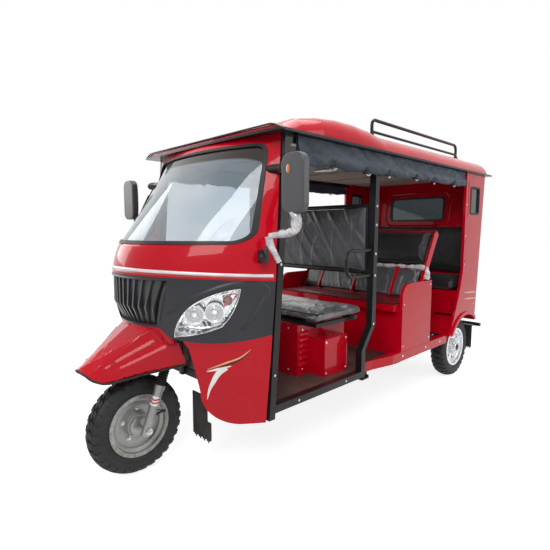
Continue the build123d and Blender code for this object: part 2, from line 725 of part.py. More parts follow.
def recline(share, forward=0.0):
    """(station, height) up the middle backrest's slope, `forward` of it towards the nose."""
    (y0, z0), (y1, z1) = RECLINE_FOOT, RECLINE_HEAD
    length = sqrt((y1 - y0) ** 2 + (z1 - z0) ** 2)
    ny, nz = -(z1 - z0) / length, (y1 - y0) / length
    return y0 + share * (y1 - y0) + forward * ny, z0 + share * (z1 - z0) + forward * nz


def recline_slab(low, high, front, back):
    corners = [recline(low, front), recline(high, front), recline(high, back), recline(low, back)]
    return poly(*corners)


LOW_PAD = (0.02, 0.42)
HIGH_PAD = (0.53, 1.0)
RAIL_SHARE = 0.475
frame_posts = None
for x in (-560, -360, 0, 360, 560):
    reach = 1.0 if abs(x) == 560 else RAIL_SHARE
    piece = prism_x(recline_slab(-0.053, reach, 0, -22), x - 12, x + 12)
    frame_posts = piece if frame_posts is None else frame_posts + piece
y, z = recline(RAIL_SHARE, -8)
frame_posts = frame_posts + rod((-566, y, z), (566, y, z), 13)
add("middle_backrest_frame", frame_posts)
low_pad = prism_x(recline_slab(*LOW_PAD, FIT, 26), -540, 540)
high_pad = prism_x(recline_slab(*HIGH_PAD, -22, 28), -548 + FIT, 548 - FIT)
add("middle_backrest_low", fillet(low_pad.edges(), 8))
add("middle_backrest_high", fillet(high_pad.edges(), 14))

# ---------------------------------------------------------------- rear body
SIDE_OUT = 622
SIDE_IN = SIDE_OUT - PANEL
BACK_FOOT = (WHEELBASE + 194, 408)
BACK_HEAD = (WHEELBASE + 291, HEADER_TOP)
ARCH_RADIUS = 300
ARCH_LINER = 6
FIN_FOOT = (WHEELBASE - 318, 416)
FIN_MIDDLE = (WHEELBASE - 195, 640)
FIN_HEAD = (SIDE_FRONT, 950)


def back_station(z):
    (y0, z0), (y1, z1) = BACK_FOOT, BACK_HEAD
    return y0 + (z - z0) * (y1 - y0) / (z1 - z0)


fin = ThreePointArc(FIN_FOOT, FIN_MIDDLE, FIN_HEAD)
rest = Polyline(FIN_HEAD, (SIDE_FRONT, HEADER_TOP), BACK_HEAD, BACK_FOOT, FIN_FOOT)
side_face = make_face([fin, rest])
arch = Pos(WHEELBASE, TYRE_RADIUS) * Circle(ARCH_RADIUS)
QUARTER_Z0, QUARTER_Z1 = HEADER_TOP - 342, HEADER_TOP - 107
QUARTER_Y0, QUARTER_Y1 = WHEELBASE - 8, WHEELBASE + 187
quarter = Pos((QUARTER_Y0 + QUARTER_Y1) / 2, (QUARTER_Z0 + QUARTER_Z1) / 2)
quarter_size = (QUARTER_Y1 - QUARTER_Y0, QUARTER_Z1 - QUARTER_Z0)
quarter_hole = quarter * rounded(*quarter_size, 28)
side_wall = prism_x(side_face - arch - quarter_hole, SIDE_IN, SIDE_OUT)
arch_centre = Pos(WHEELBASE, TYRE_RADIUS)
LIP_WIDE = 26
lip_ring = arch_centre * (Circle(ARCH_RADIUS + LIP_WIDE) - Circle(ARCH_RADIUS))
lip = prism_x(lip_ring, SIDE_OUT - 4, SIDE_OUT + 14)
arch_front = WHEELBASE - 2 * ARCH_RADIUS
lip = lip & box(500, 700, arch_front, BACK_FOOT[0] - 2, FIN_FOOT[1], 900)
LINER_IN = WHEEL_X - 78
liner_disc = arch_centre * Circle(ARCH_RADIUS + ARCH_LINER)
liner = prism_x(liner_disc - arch_centre * Circle(ARCH_RADIUS), LINER_IN - ARCH_LINER, SIDE_OUT - 2)
liner = liner + prism_x(liner_disc, LINER_IN - ARCH_LINER, LINER_IN)
liner = liner & box(200, 700, arch_front, BACK_FOOT[0] - PANEL - 2, FIN_FOOT[1], 900)
rear_side = side_wall + lip + liner
add("rear_side_left", rear_side)
add("rear_side_right", mirrored(rear_side))

REAR_WINDOW_HALF = 285
REAR_WINDOW_Z0, REAR_WINDOW_Z1 = HEADER_TOP - 387, HEADER_TOP - 157
REAR_CUT = (WHEELBASE + 57, WHEELBASE + 457)   # stations a cutter runs between to pass the back wall
back_inner = SIDE_IN - FIT
back_face = poly(
    (BACK_FOOT[0] - PANEL, BACK_FOOT[1]), BACK_FOOT, BACK_HEAD, (BACK_HEAD[0] - PANEL, BACK_HEAD[1])
)
rear_window = rounded(2 * REAR_WINDOW_HALF, REAR_WINDOW_Z1 - REAR_WINDOW_Z0, 45)
rear_window = Pos(0, (REAR_WINDOW_Z0 + REAR_WINDOW_Z1) / 2) * rear_window
rear_panel = prism_x(back_face, -back_inner, back_inner) - prism_y(rear_window, *REAR_CUT)
notch = prism_x(arch, LINER_IN - ARCH_LINER - 8, 700)
rear_panel = rear_panel - notch - mirrored(notch)
add("rear_panel", rear_panel)

# panes and rubber seals of the rear and quarter windows
def back_sheet(front, rear):
    """Slab parallel to the back wall, from `front` to `rear` ahead of its outer face."""
    face = poly(
        (BACK_FOOT[0] - front, BACK_FOOT[1]),
        (BACK_FOOT[0] - rear, BACK_FOOT[1]),
        (BACK_HEAD[0] - rear, BACK_HEAD[1]),
        (BACK_HEAD[0] - front, BACK_HEAD[1]),
    )
    return prism_x(face, -back_inner, back_inner)


WINDOW_SEAL = 16
ring = prism_y(offset(rear_window, -FIT) - offset(rear_window, -WINDOW_SEAL), *REAR_CUT)
rear_seal = ring & back_sheet(PANEL + 4, -4)
pane = prism_y(offset(rear_window, -WINDOW_SEAL - FIT), *REAR_CUT)
rear_pane = pane & back_sheet(14, 9)
quarter_ring = offset(quarter_hole, -FIT) - offset(quarter_hole, -WINDOW_SEAL)
quarter_seal = prism_x(quarter_ring, SIDE_IN - 4, SIDE_OUT + 4)
quarter_pane = prism_x(offset(quarter_hole, -WINDOW_SEAL - FIT), SIDE_OUT - 14, SIDE_OUT - 9)
add("window_seals", Compound([*seal.solids(), *rear_seal.solids(), *both_sides(quarter_seal).solids()]))
add("rear_windows", Compound([*rear_pane.solids(), *both_sides(quarter_pane).solids()]))

# ---------------------------------------------------------------- rear bench
REAR_SEAT_FRONT = WHEELBASE - 178
REAR_SEAT_TOP = 890
REAR_SEAT_THICK = 115
REAR_BASE_TOP = REAR_SEAT_TOP - REAR_SEAT_THICK
base_half = LINER_IN - ARCH_LINER - 4
base_front = REAR_SEAT_FRONT + 50
base_rear = back_station(REAR_BASE_TOP - 15) - PANEL - 2
base_wide = SIDE_IN - 4
arch_top = TYRE_RADIUS + ARCH_RADIUS + ARCH_LINER + 4
rear_base = box(-base_wide, base_wide, base_front, base_rear, REAR_BASE_TOP - 14, REAR_BASE_TOP)
rear_base = rear_base + box(-base_wide, base_wide, base_front, base_front + SHEET, arch_top, REAR_BASE_TOP)
riser_rear = base_front + SHEET
rear_base = rear_base + box(-base_half, base_half, base_front, riser_rear, RAIL_TOP + FIT, REAR_BASE_TOP)
add("rear_bench_base", rear_base)
rear_pad_rear = back_station(REAR_SEAT_TOP - 10) - PANEL - 12
add("rear_seat", cushion(-560, 560, REAR_SEAT_FRONT, rear_pad_rear, REAR_BASE_TOP + FIT, REAR_SEAT_TOP, 26))
REAR_BACK_Z0, REAR_BACK_Z1 = 905, 1325
pad_face = poly(
    (back_station(REAR_BACK_Z0) - PANEL - 60, REAR_BACK_Z0),
    (back_station(REAR_BACK_Z0) - PANEL - FIT, REAR_BACK_Z0),
    (back_station(REAR_BACK_Z1) - PANEL - FIT, REAR_BACK_Z1),
    (back_station(REAR_BACK_Z1) - PANEL - 50, REAR_BACK_Z1),
)
add("rear_backrest", fillet(prism_x(pad_face, -570, 570).edges(), 14))

# ---------------------------------------------------------------- roof
ROOF_WALL = 12
SHOULDER_X = 560
SHOULDER_Z = HEADER_TOP + 108


ROOF_LIP = 22                # height of the shell's front edge above the visor
LIP_CAMBER = 2


def roof_section(inset, rise=1.0):
    """Section of the roof; rise runs from 0 at its front edge to 1 where it has its full height."""
    edge = ROOF_HALF - inset
    lip_z = ROOF_EDGE_Z + ROOF_LIP
    crown_z = lip_z + (ROOF_CROWN_Z - lip_z) * sin(radians(90 * rise)) ** 0.8
    camber = LIP_CAMBER + (ROOF_CROWN_Z - SHOULDER_Z - LIP_CAMBER) * rise ** 1.5
    shoulder = (SHOULDER_X - inset, crown_z - camber - inset)
    crown_arc = ThreePointArc((-shoulder[0], shoulder[1]), (0, crown_z - inset), shoulder)
    right = TangentArc(shoulder, (edge, ROOF_EDGE_Z), tangent=crown_arc % 1)
    left = mirror(right, about=Plane.YZ)
    close = Line((-edge, ROOF_EDGE_Z), (edge, ROOF_EDGE_Z))
    return make_face([crown_arc, right, close, left])


ROOF_ROUND = 70
RISE_STEPS = 6


def roof_body(inset, first_step):
    """Roof shape smaller by the inset: a rise of ruled stretches, then one section to the rounded rear."""
    main = prism_y(roof_section(inset), ROOF_FULL, ROOF_REAR - inset)
    back = [e for e in main.faces().sort_by(Axis.Y)[-1].edges() if e.center().Z > ROOF_EDGE_Z + 20]
    main = fillet(back, ROOF_ROUND - inset)
    sections = []
    for step in range(first_step, RISE_STEPS + 1):
        share = step / RISE_STEPS
        station = Plane.XZ.offset(-(ROOF_FRONT + (ROOF_FULL - ROOF_FRONT) * share))
        sections.append(station * roof_section(inset, share))
    return main + loft(sections, ruled=True)


outer_roof = roof_body(0, 0)
add("roof_shell", outer_roof - roof_body(ROOF_WALL, 1))

# black edge trim under the shell: sun visor, side gutters and tail lip in one plate
TRIM_HALF = 648
VISOR_HALF = 642
TRIM_INNER = 545
TRIM_FRONT, TRIM_REAR = 640, WHEELBASE + 237
visor = ThreePointArc((-VISOR_HALF, VISOR_FRONT + 18), (0, VISOR_FRONT), (VISOR_HALF, VISOR_FRONT + 18))
trim_rest = Polyline(
    (VISOR_HALF, VISOR_FRONT + 18),
    (TRIM_HALF, VISOR_FRONT + 24),
    (TRIM_HALF, GUTTER_REAR),
    (-TRIM_HALF, GUTTER_REAR),
    (-TRIM_HALF, VISOR_FRONT + 24),
    (-VISOR_HALF, VISOR_FRONT + 18),
)
trim_hole = Pos(0, (TRIM_FRONT + TRIM_REAR) / 2) * Rectangle(2 * TRIM_INNER, TRIM_REAR - TRIM_FRONT)
trim_face = make_face([visor, trim_rest]) - trim_hole
trim = extrude(Plane.XY.offset(HEADER_TOP + FIT) * trim_face, ROOF_EDGE_Z - HEADER_TOP - 2 * FIT)
add("roof_trim", trim)
LINING_FOOT = HEADER_TOP - 18
LINING_FRONT, LINING_REAR = 600, back_station(LINING_FOOT) - PANEL - 2
lining_half = POST_X - FIT
lining = box(-lining_half, lining_half, LINING_FRONT, LINING_REAR, LINING_FOOT, LINING_FOOT + SHEET)
add("roof_lining", lining)

RACK_X = 450
RACK_FRONT, RACK_REAR = 1500, WHEELBASE + 57
RACK_TOP = ROOF_CROWN_Z + 33
RACK_MIDDLE = RACK_TOP - 78
RACK_FOOT = SHOULDER_Z + 5
RACK_RADIUS = 11
rack_points = [
    (RACK_X, RACK_FRONT, RACK_FOOT),
    (RACK_X, RACK_FRONT, RACK_TOP),
    (RACK_X, RACK_REAR, RACK_TOP),
    (RACK_X, RACK_REAR, RACK_FOOT),
]
rack = bent_tube(rack_points, RACK_RADIUS, 38)
rack = rack + rod((RACK_X, RACK_FRONT, RACK_MIDDLE), (RACK_X, RACK_REAR, RACK_MIDDLE), RACK_RADIUS - 2)
rack = rack - Pos(0, 0, FIT) * outer_roof
rack = rack - box(300, 600, RACK_FRONT - 100, RACK_REAR + 100, RACK_FOOT - 100, RACK_FOOT + 12)
rack = max(rack.solids(), key=lambda s: s.volume)
add("roof_rack", Compound([rack, mirrored(rack)]))

# rolled tarpaulin side curtains, under the gutter and outside the side frames
CURTAIN_FRONT, CURTAIN_REAR = 600, SIDE_FRONT - 10
CURTAIN_FOOT = HEADER_TOP - 126
CURTAIN_OUT = POST_OUT + 27
curtain = cushion(POST_OUT + FIT, CURTAIN_OUT, CURTAIN_FRONT, CURTAIN_REAR, CURTAIN_FOOT, HEADER_TOP, 9)
add("curtain_left", curtain)
add("curtain_right", mirrored(curtain))

# ---------------------------------------------------------------- lamps, mirrors, flaps, bumper
TAIL_LAMP_X = 505
tail_outline = Pos(TAIL_LAMP_X, 720) * rounded(110, 210, 30)
tail_lamp = prism_y(tail_outline, *REAR_CUT) & back_sheet(-FIT, -26)
add("tail_lamps", tail_lamp + mirrored(tail_lamp))

bumper = rod((-610, BUMPER_Y, BUMPER_Z), (610, BUMPER_Y, BUMPER_Z), BUMPER_RADIUS)
FLAP_Y = WHEELBASE + 297
FLAP_X0, FLAP_X1 = WHEEL_X - 62, WHEEL_X + 82
HANGER_FOOT = BUMPER_Z - 6
TOW_BORE, TOW_THICK = 9, 14
for side in (-1, 1):
    edges = sorted((side * FLAP_X0, side * FLAP_X1))
    bumper = bumper + box(edges[0], edges[1], FLAP_Y - 6, BUMPER_Y, HANGER_FOOT, HANGER_FOOT + SHEET)
tow = box(-30, 30, BUMPER_Y - 60, BUMPER_Y, BUMPER_Z - TOW_THICK / 2, BUMPER_Z + TOW_THICK / 2)
bumper = bumper + tow
bumper = bumper - Pos(0, BUMPER_Y - 38, BUMPER_Z) * Cylinder(TOW_BORE, 60)
add("rear_bumper", bumper)
FLAP_THICK = 7
FLAP_FOOT = 205
rear_flap = Pos(0, -FLAP_THICK / 2, 0) * box(
    FLAP_X0 + 4, FLAP_X1 - 4, FLAP_Y, FLAP_Y + FLAP_THICK, FLAP_FOOT, HANGER_FOOT - FIT
)
FRONT_FLAP_Y = 205
FRONT_FLAP_FOOT, FRONT_FLAP_TOP = 228, 452
front_flap = box(236, 392, FRONT_FLAP_Y, FRONT_FLAP_Y + FLAP_THICK, FRONT_FLAP_FOOT, FRONT_FLAP_TOP)
front_flap = front_flap - nose_shell(lower_sections, -4, PANEL + FIT, ruled=True)
front_flap = max(front_flap.solids(), key=lambda s: s.volume)
flaps = [rear_flap, mirrored(rear_flap), front_flap, mirrored(front_flap)]
add("mud_flaps", Compound([s for f in flaps for s in f.solids()]))

SIDE_LAMP_Y, SIDE_LAMP_Z = 490, 1590
side_lamp = disc_x(430, 672, SIDE_LAMP_Y, SIDE_LAMP_Z, 21) - nose_solid(screen_sections, -FIT, ruled=True)
side_lamp = side_lamp - seal
side_lamp = max(side_lamp.solids(), key=lambda s: s.center().X)
add("side_lamps", Compound([side_lamp, mirrored(side_lamp)]))

MIRROR_X, MIRROR_Y, MIRROR_Z = 786, 400, 1497
MIRROR_WIDE, MIRROR_TALL, MIRROR_DEEP = 136, 268, 44
ARM_FOOT = (600, 380, 1172)
head = Pos(MIRROR_X, MIRROR_Y, MIRROR_Z) * fillet(
    fillet(Box(MIRROR_WIDE, MIRROR_DEEP, MIRROR_TALL).edges().filter_by(Axis.Y), 46).edges(), 9
)
arm = bent_tube(
    [ARM_FOOT, (648, 372, 1262), (716, 420, 1300), (MIRROR_X - 40, MIRROR_Y + 2, 1372)],
    7,
    14,
)
arm_boss = rod((560, 396, 1172), (604, 378, 1172), 17) - nose_solid(upper_sections, -FIT)
mirror_part = head + arm + arm_boss
mirror_part = max(mirror_part.solids(), key=lambda s: s.volume)
add("mirror_left", mirror_part)
add("mirror_right", mirrored(mirror_part))

DASH_REAR = 186
dash = nose_solid(upper_sections, PANEL + 1) & box(-600, 600, -100, DASH_REAR, 1120, 1172)
add("dashboard", dash)

# ---------------------------------------------------------------- steering
LEG_RADIUS = 24
STANCHION = 19
SEAL_RADIUS = 28
LEG_TOP = 215
BRIDGE_LOW, BRIDGE_HIGH = 340, 372
AXLE_PIN = 8
AXLE_BORE = 8.5
fork = disc_x(-LEG_X - 18, LEG_X + 18, 0, TYRE_RADIUS, AXLE_PIN)
for side in (-1, 1):
    x = side * LEG_X
    fork = fork + rod(on_axis(-30, x, 0), on_axis(LEG_TOP, x, 0), LEG_RADIUS)
    fork = fork + rod(on_axis(LEG_TOP - 6, x, 0), on_axis(LEG_TOP + 20, x, 0), SEAL_RADIUS)
    fork = fork + rod(on_axis(LEG_TOP, x, 0), on_axis(BRIDGE_HIGH + 14, x, 0), STANCHION)
    ends = sorted((side * (LEG_X + 18), side * (LEG_X + 30)))
    fork = fork + disc_x(ends[0], ends[1], 0, TYRE_RADIUS, 15)
bridge_middle = on_axis((BRIDGE_LOW + BRIDGE_HIGH) / 2, 0, 22)
up_axis = (0, sin(radians(RAKE)), cos(radians(RAKE)))
bridge_at = Plane(origin=bridge_middle, x_dir=(1, 0, 0), z_dir=up_axis)
bridge_size = Box(2 * LEG_X + 56, 78, BRIDGE_HIGH - BRIDGE_LOW)
fork = fork + bridge_at.location * fillet(bridge_size.edges().filter_by(Axis.Z), 24)
STEM_TOP = 850
fork = fork + rod(on_axis(BRIDGE_LOW + 10), on_axis(STEM_TOP), STEM_RADIUS)
fork = fork + rod(on_axis(BRIDGE_HIGH - 2), on_axis(HEAD_LOW - FIT), 27)
fork = fork + rod(on_axis(HEAD_HIGH + FIT), on_axis(HEAD_HIGH + 18), 27)
add("front_fork", fork)

BAR_HALF = [(95, 348, 1058), (210, 402, 1088), (335, 440, 1080)]
BAR_POINTS = [(-x, y, z) for x, y, z in reversed(BAR_HALF)] + BAR_HALF
handlebar = bent_tube(BAR_POINTS, 11, 30)
clamp = rod(on_axis(STEM_TOP + FIT), on_axis(STEM_TOP + 34), 26)
handlebar = handlebar + clamp
for side in (-1, 1):
    a, b = Vector(*BAR_POINTS[-1]), Vector(*BAR_POINTS[-2])
    inner_end = a + (b - a).normalized() * 118
    grip = rod((side * a.X, a.Y, a.Z), (side * inner_end.X, inner_end.Y, inner_end.Z), 17)
    handlebar = handlebar + grip
add("handlebar", handlebar)
POD_CENTRE = (0, 317.6, 1123.4)
pod = Pos(*POD_CENTRE) * Rot(-30, 0, 0) * fillet(Box(210, 110, 56).edges(), 18)
add("instrument_pod", pod - rod(on_axis(STEM_TOP - 20), on_axis(STEM_TOP + 34 + FIT), 26 + FIT))

# ---------------------------------------------------------------- wheels


def revolved(points):
    """Solid of revolution about X from a closed (x, radius) outline."""
    return revolve(Plane.XZ * poly(*points), Axis.X)


def tyre(width):
    half = width / 2
    bead = half - 12
    left_low = (-bead, BEAD_RADIUS + FIT)
    right_low = (bead, BEAD_RADIUS + FIT)
    left_in, right_in = (-bead, FLANGE_RADIUS), (bead, FLANGE_RADIUS)
    shoulder = TYRE_RADIUS - 15
    left_top, right_top = (-half + 8, shoulder), (half - 8, shoulder)
    face = make_face([
        Line(left_low, right_low),
        Line(right_low, right_in),
        ThreePointArc(right_in, (half, (FLANGE_RADIUS + shoulder) / 2), right_top),
        ThreePointArc(right_top, (0, TYRE_RADIUS), left_top),
        ThreePointArc(left_top, (-half, (FLANGE_RADIUS + shoulder) / 2), left_in),
        Line(left_in, left_low),
    ])
    return revolve(Plane.XZ * face, Axis.X)


def rim_outline(width, disc_x0, hub_in, hub_out, hub_radius, bore):
    """Barrel with two flanges, dished disc at disc_x0 and a hub drum from hub_in to hub_out."""
    seat = width / 2 - 12 + FIT
    flange = seat + 6
    flange_top, well = FLANGE_RADIUS, BEAD_RADIUS
    # the tyre's side, from the inner flange across the well to the outer flange
    tyre_side = [
        (-flange, flange_top),
        (-seat, flange_top),
        (-seat, well),
        (-seat + 16, well - 2),
        (-seat + 24, well - 18),
        (seat - 24, well - 18),
        (seat - 16, well - 2),
        (seat, well),
        (seat, flange_top),
        (flange, flange_top),
    ]
    # outer face, from the flange down the dished disc to the hub
    outer_face = [
        (flange, well - 5),
        (seat - 12, well - 8),
        (seat - 20, well - 24),
        (disc_x0 + 8, well - 26),
        (disc_x0 + 10, well - 50),
        (disc_x0 + 4, hub_radius + 4),
        (hub_out, hub_radius - 4),
        (hub_out, bore),
    ]
    inner_face = [
        (hub_in, bore),
        (hub_in, hub_radius),
        (disc_x0 - 4, hub_radius),
        (disc_x0 + 2, well - 50),
        (disc_x0, well - 26),
        (-seat + 20, well - 24),
        (-seat + 12, well - 8),
        (-flange, well - 5),
    ]
    return tyre_side + outer_face + inner_face


front_rim = revolved(
    rim_outline(FRONT_TYRE_WIDTH, disc_x0=4, hub_in=-62, hub_out=50, hub_radius=62, bore=AXLE_BORE)
)
front_centre = Pos(0, 0, TYRE_RADIUS)
add("front_rim", front_centre * front_rim)
add("front_tyre", front_centre * tyre(FRONT_TYRE_WIDTH))
rear_hub = dict(hub_in=-78, hub_out=REAR_HUB_OUT - 4, hub_radius=66, bore=HUB_BORE + 0.5)
rear_rim = revolved(rim_outline(REAR_TYRE_WIDTH, disc_x0=20, **rear_hub))
HOLES, HOLE_CIRCLE, HOLE_RADIUS = 8, 98, 13
for i in range(HOLES):
    spot = Rot(i * 360 / HOLES, 0, 0) * Pos(25, 0, HOLE_CIRCLE) * Rot(0, 90, 0)
    rear_rim = rear_rim - spot * Cylinder(HOLE_RADIUS, 60)
rear_tyre = tyre(REAR_TYRE_WIDTH)
for name, x, flip in (("left", WHEEL_X, 0), ("right", -WHEEL_X, 180)):
    spot = Pos(x, WHEELBASE, TYRE_RADIUS) * Rot(0, 0, flip)
    add("rear_rim_" + name, spot * rear_rim)
    add("rear_tyre_" + name, spot * rear_tyre)

# ---------------------------------------------------------------- write the pieces
os.makedirs("parts", exist_ok=True)
for name, shape in parts.items():
    export_step(Pos(0, -CENTRE_Y, 0) * shape, "parts/" + name + ".step")
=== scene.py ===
from math import atan2, copysign, cos, degrees, exp, hypot, pi, radians, sin

import bmesh
import bpy
from mathutils import Matrix, Vector, noise
from mathutils.bvhtree import BVHTree


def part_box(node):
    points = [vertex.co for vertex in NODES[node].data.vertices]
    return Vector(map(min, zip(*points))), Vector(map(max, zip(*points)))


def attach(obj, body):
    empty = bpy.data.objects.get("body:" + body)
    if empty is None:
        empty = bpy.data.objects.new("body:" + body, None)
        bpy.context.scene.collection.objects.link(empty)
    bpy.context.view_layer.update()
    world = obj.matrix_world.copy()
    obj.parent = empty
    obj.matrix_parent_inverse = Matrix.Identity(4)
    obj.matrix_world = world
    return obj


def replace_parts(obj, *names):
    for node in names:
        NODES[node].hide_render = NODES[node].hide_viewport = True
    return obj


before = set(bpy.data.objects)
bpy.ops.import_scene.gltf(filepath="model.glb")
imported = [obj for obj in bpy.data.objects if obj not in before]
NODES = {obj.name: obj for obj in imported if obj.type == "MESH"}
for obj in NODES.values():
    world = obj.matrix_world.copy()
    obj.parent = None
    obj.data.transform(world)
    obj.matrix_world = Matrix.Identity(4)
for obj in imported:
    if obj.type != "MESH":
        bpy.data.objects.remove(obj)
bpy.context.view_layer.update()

MID = 1.4285                  # row frame's origin, in metres behind the front axle
RAKE = radians(21)
TYRE_RADIUS = 0.262
WHEELBASE = 2743
WHEEL_X = 490
SIDES = ((1, "left"), (-1, "right"))
AHEAD, BACK = Vector((0, -1, 0)), Vector((0, 1, 0))
UP, DOWN = Vector((0, 0, 1)), Vector((0, 0, -1))


def P(x, y, z):
    """Millimetres, y counted back from the front axle, to the row frame in metres."""
    return Vector((x / 1000, y / 1000 - MID, z / 1000))


def line(side, points):
    """Points of the left side in millimetres, on either side of the vehicle."""
    return [P(side * x, y, z) for x, y, z in points]


def outboard(side):
    return Vector((side, 0, 0))


def around(count):
    """Angles of a full turn in equal steps."""
    return [2 * pi * k / count for k in range(count)]


def spoke(x, angle, radius):
    """Offset from a wheel's centre."""
    return Vector((x, cos(angle) * radius, sin(angle) * radius))


# ---- materials
class Nodes:
    """Short calls that build one node tree."""

    def __init__(self, tree):
        self.tree = tree

    def node(self, kind, **values):
        made = self.tree.nodes.new(kind)
        for key, value in values.items():
            if hasattr(made, key):
                setattr(made, key, value)
            else:
                made.inputs[key].default_value = value
        return made

    def link(self, a, b):
        self.tree.links.new(a, b)

    def band(self, value, low, high, out_low=0.0, out_high=1.0):
        made = self.node("ShaderNodeMapRange")
        for key, number in zip(("From Min", "From Max", "To Min", "To Max"), (low, high, out_low, out_high)):
            made.inputs[key].default_value = number
        self.link(value, made.inputs["Value"])
        return made.outputs["Result"]

    def maths(self, how, a, b):
        made = self.node("ShaderNodeMath", operation=how)
        for slot, value in zip(made.inputs, (a, b)):
            if isinstance(value, (int, float)):
                slot.default_value = value
            else:
                self.link(value, slot)
        return made.outputs[0]


class Finish(Nodes):
    """One procedural material round a Principled shader."""

    def __init__(self, name):
        self.mat = bpy.data.materials.new(name)
        self.mat.use_nodes = True
        super().__init__(self.mat.node_tree)
        self.bsdf = self.tree.nodes["Principled BSDF"]
        self.coord = self.node("ShaderNodeTexCoord").outputs["Object"]

    def put(self, **values):
        """Sets the shader's sockets, whose names have spaces for the underscores."""
        for key, value in values.items():
            self.bsdf.inputs[key.replace("_", " ")].default_value = value

    def stretched(self, scale, lean=0):
        mapping = self.node("ShaderNodeMapping", Scale=scale)
        mapping.inputs["Rotation"].default_value = (0, radians(lean), radians(lean * 0.5))
        self.link(self.coord, mapping.inputs["Vector"])
        return mapping.outputs["Vector"]

    def noise(self, scale, detail=3.0, stretch=None, rough=0.55, warp=0.0, lean=0):
        tex = self.node("ShaderNodeTexNoise", Scale=scale, Detail=detail, Roughness=rough, Distortion=warp)
        self.link(self.stretched(stretch, lean) if stretch else self.coord, tex.inputs["Vector"])
        return tex.outputs["Fac"]

    def cells(self, scale):
        tex = self.node("ShaderNodeTexVoronoi", Scale=scale)
        self.link(self.coord, tex.inputs["Vector"])
        return tex.outputs["Distance"]

    def wave(self, scale, axis):
        tex = self.node("ShaderNodeTexWave", Scale=scale, Distortion=0.0)
        tex.bands_direction = axis
        self.link(self.coord, tex.inputs["Vector"])
        return tex.outputs["Fac"]

    def ridges(self, scale, width, stretch, warp, lean):
        """Thin lines where a warped noise crosses its middle, as in crumpled film; the seat vinyl uses them
        as bumps and, mixed into its colour, as painted highlights.
        """
        middle = self.noise(scale, 3, stretch, 0.5, warp, lean)
        off = self.maths("ABSOLUTE", self.maths("SUBTRACT", middle, 0.5), 0.0)
        return self.band(off, 0.0, width, 1, 0)

    def mix(self, share, a, b):
        made = self.node("ShaderNodeMix", data_type="RGBA")
        self.link(share, made.inputs[0])
        for slot, value in ((made.inputs[6], a), (made.inputs[7], b)):
            if isinstance(value, tuple):
                slot.default_value = (*value, 1)
            else:
                self.link(value, slot)
        return made.outputs[2]

    def two_tone(self, value, base, alt, low=0.35, high=0.65):
        return self.mix(self.band(value, low, high), base, alt)

    def axes(self):
        split = self.node("ShaderNodeSeparateXYZ")
        self.link(self.coord, split.inputs[0])
        return split.outputs

    def colour(self, socket):
        self.link(socket, self.bsdf.inputs["Base Color"])

    def roughness(self, value, low, high):
        self.link(self.band(value, 0.3, 0.7, low, high), self.bsdf.inputs["Roughness"])

    def bump(self, value, distance, strength=1.0, socket="Normal"):
        """Adds a bump on top of those that the socket has."""
        made = self.node("ShaderNodeBump", Strength=strength, Distance=distance)
        self.link(value, made.inputs["Height"])
        old = self.bsdf.inputs[socket]
        if old.is_linked:
            self.link(old.links[0].from_socket, made.inputs["Normal"])
        self.link(made.outputs["Normal"], old)


def finish(name, base, alt, rough, spot, *bumps, metal=0.0, coat=0.0, coat_rough=0.05, coat_ior=1.5,
           shine=0.5,
           sheen=0.0, dust=0.0, dust_top=0.7, dust_colour=(0.16, 0.13, 0.11), wear=0.0,
           wear_colour=(0.3, 0.3, 0.3)):
    """Two-tone finish with spots of a scale. bumps are (kind, scale, distance); rough is (low, high)."""
    f = Finish(name)
    colour = f.two_tone(f.noise(spot), base, alt)
    if wear:
        edge = f.node("ShaderNodeNewGeometry").outputs["Pointiness"]
        worn = f.maths("MULTIPLY", f.band(edge, 0.53, 0.60), f.band(f.noise(38), 0.45, 0.6, 0, wear))
        colour = f.mix(worn, colour, wear_colour)
    if dust:
        low = f.band(f.axes()[2], 0.1, dust_top, dust, 0)
        colour = f.mix(f.maths("MULTIPLY", low, f.band(f.noise(9, 6), 0.35, 0.75)), colour, dust_colour)
    f.colour(colour)
    f.roughness(f.noise(spot * 6, 4), *rough)
    f.put(Metallic=metal, Specular_IOR_Level=shine, Sheen_Weight=sheen, Coat_Weight=coat,
          Coat_Roughness=coat_rough, Coat_IOR=coat_ior)
    for kind, scale, distance in bumps:
        made = {"noise": f.noise, "cells": f.cells}.get(kind)
        f.bump(made(scale) if made else f.wave(scale, kind), distance)
    return f.mat


red = finish("red_paint", (0.62, 0.0008, 0.015), (0.56, 0.0006, 0.012), (0.22, 0.36), 1.6,
             ("noise", 3.5, 0.0006), coat=1.0, coat_rough=0.03, coat_ior=1.27, shine=0.05, dust=0.08,
             dust_top=0.45, dust_colour=(0.20, 0.05, 0.04))
mask_grey = finish("mask_grey", (0.036, 0.037, 0.044), (0.028, 0.029, 0.035), (0.34, 0.48), 3,
                   ("noise", 700, 0.00004), coat=0.4, coat_rough=0.22, dust=0.06, shine=0.2, coat_ior=1.3)
black = finish("black_steel", (0.008, 0.008, 0.009), (0.012, 0.012, 0.013), (0.30, 0.42), 5,
               ("noise", 60, 0.00008), coat=0.5, coat_rough=0.12, dust=0.10, dust_top=0.5, shine=0.15,
               coat_ior=1.28)
chassis = finish("chassis_black", (0.014, 0.014, 0.015), (0.03, 0.027, 0.025), (0.5, 0.75), 7,
                 ("noise", 120, 0.0002), dust=0.5, shine=0.3)
seal = finish("seal_rubber", (0.013, 0.014, 0.017), (0.020, 0.022, 0.026), (0.42, 0.6), 6,
              ("noise", 400, 0.00008), shine=0.3)
flap = finish("flap_rubber", (0.012, 0.012, 0.013), (0.020, 0.019, 0.018), (0.55, 0.8), 8,
              ("noise", 200, 0.0002), dust=0.35, shine=0.3)
tyre = finish("tyre_rubber", (0.016, 0.017, 0.018), (0.027, 0.028, 0.029), (0.50, 0.75), 12,
              ("noise", 260, 0.00025), shine=0.35)
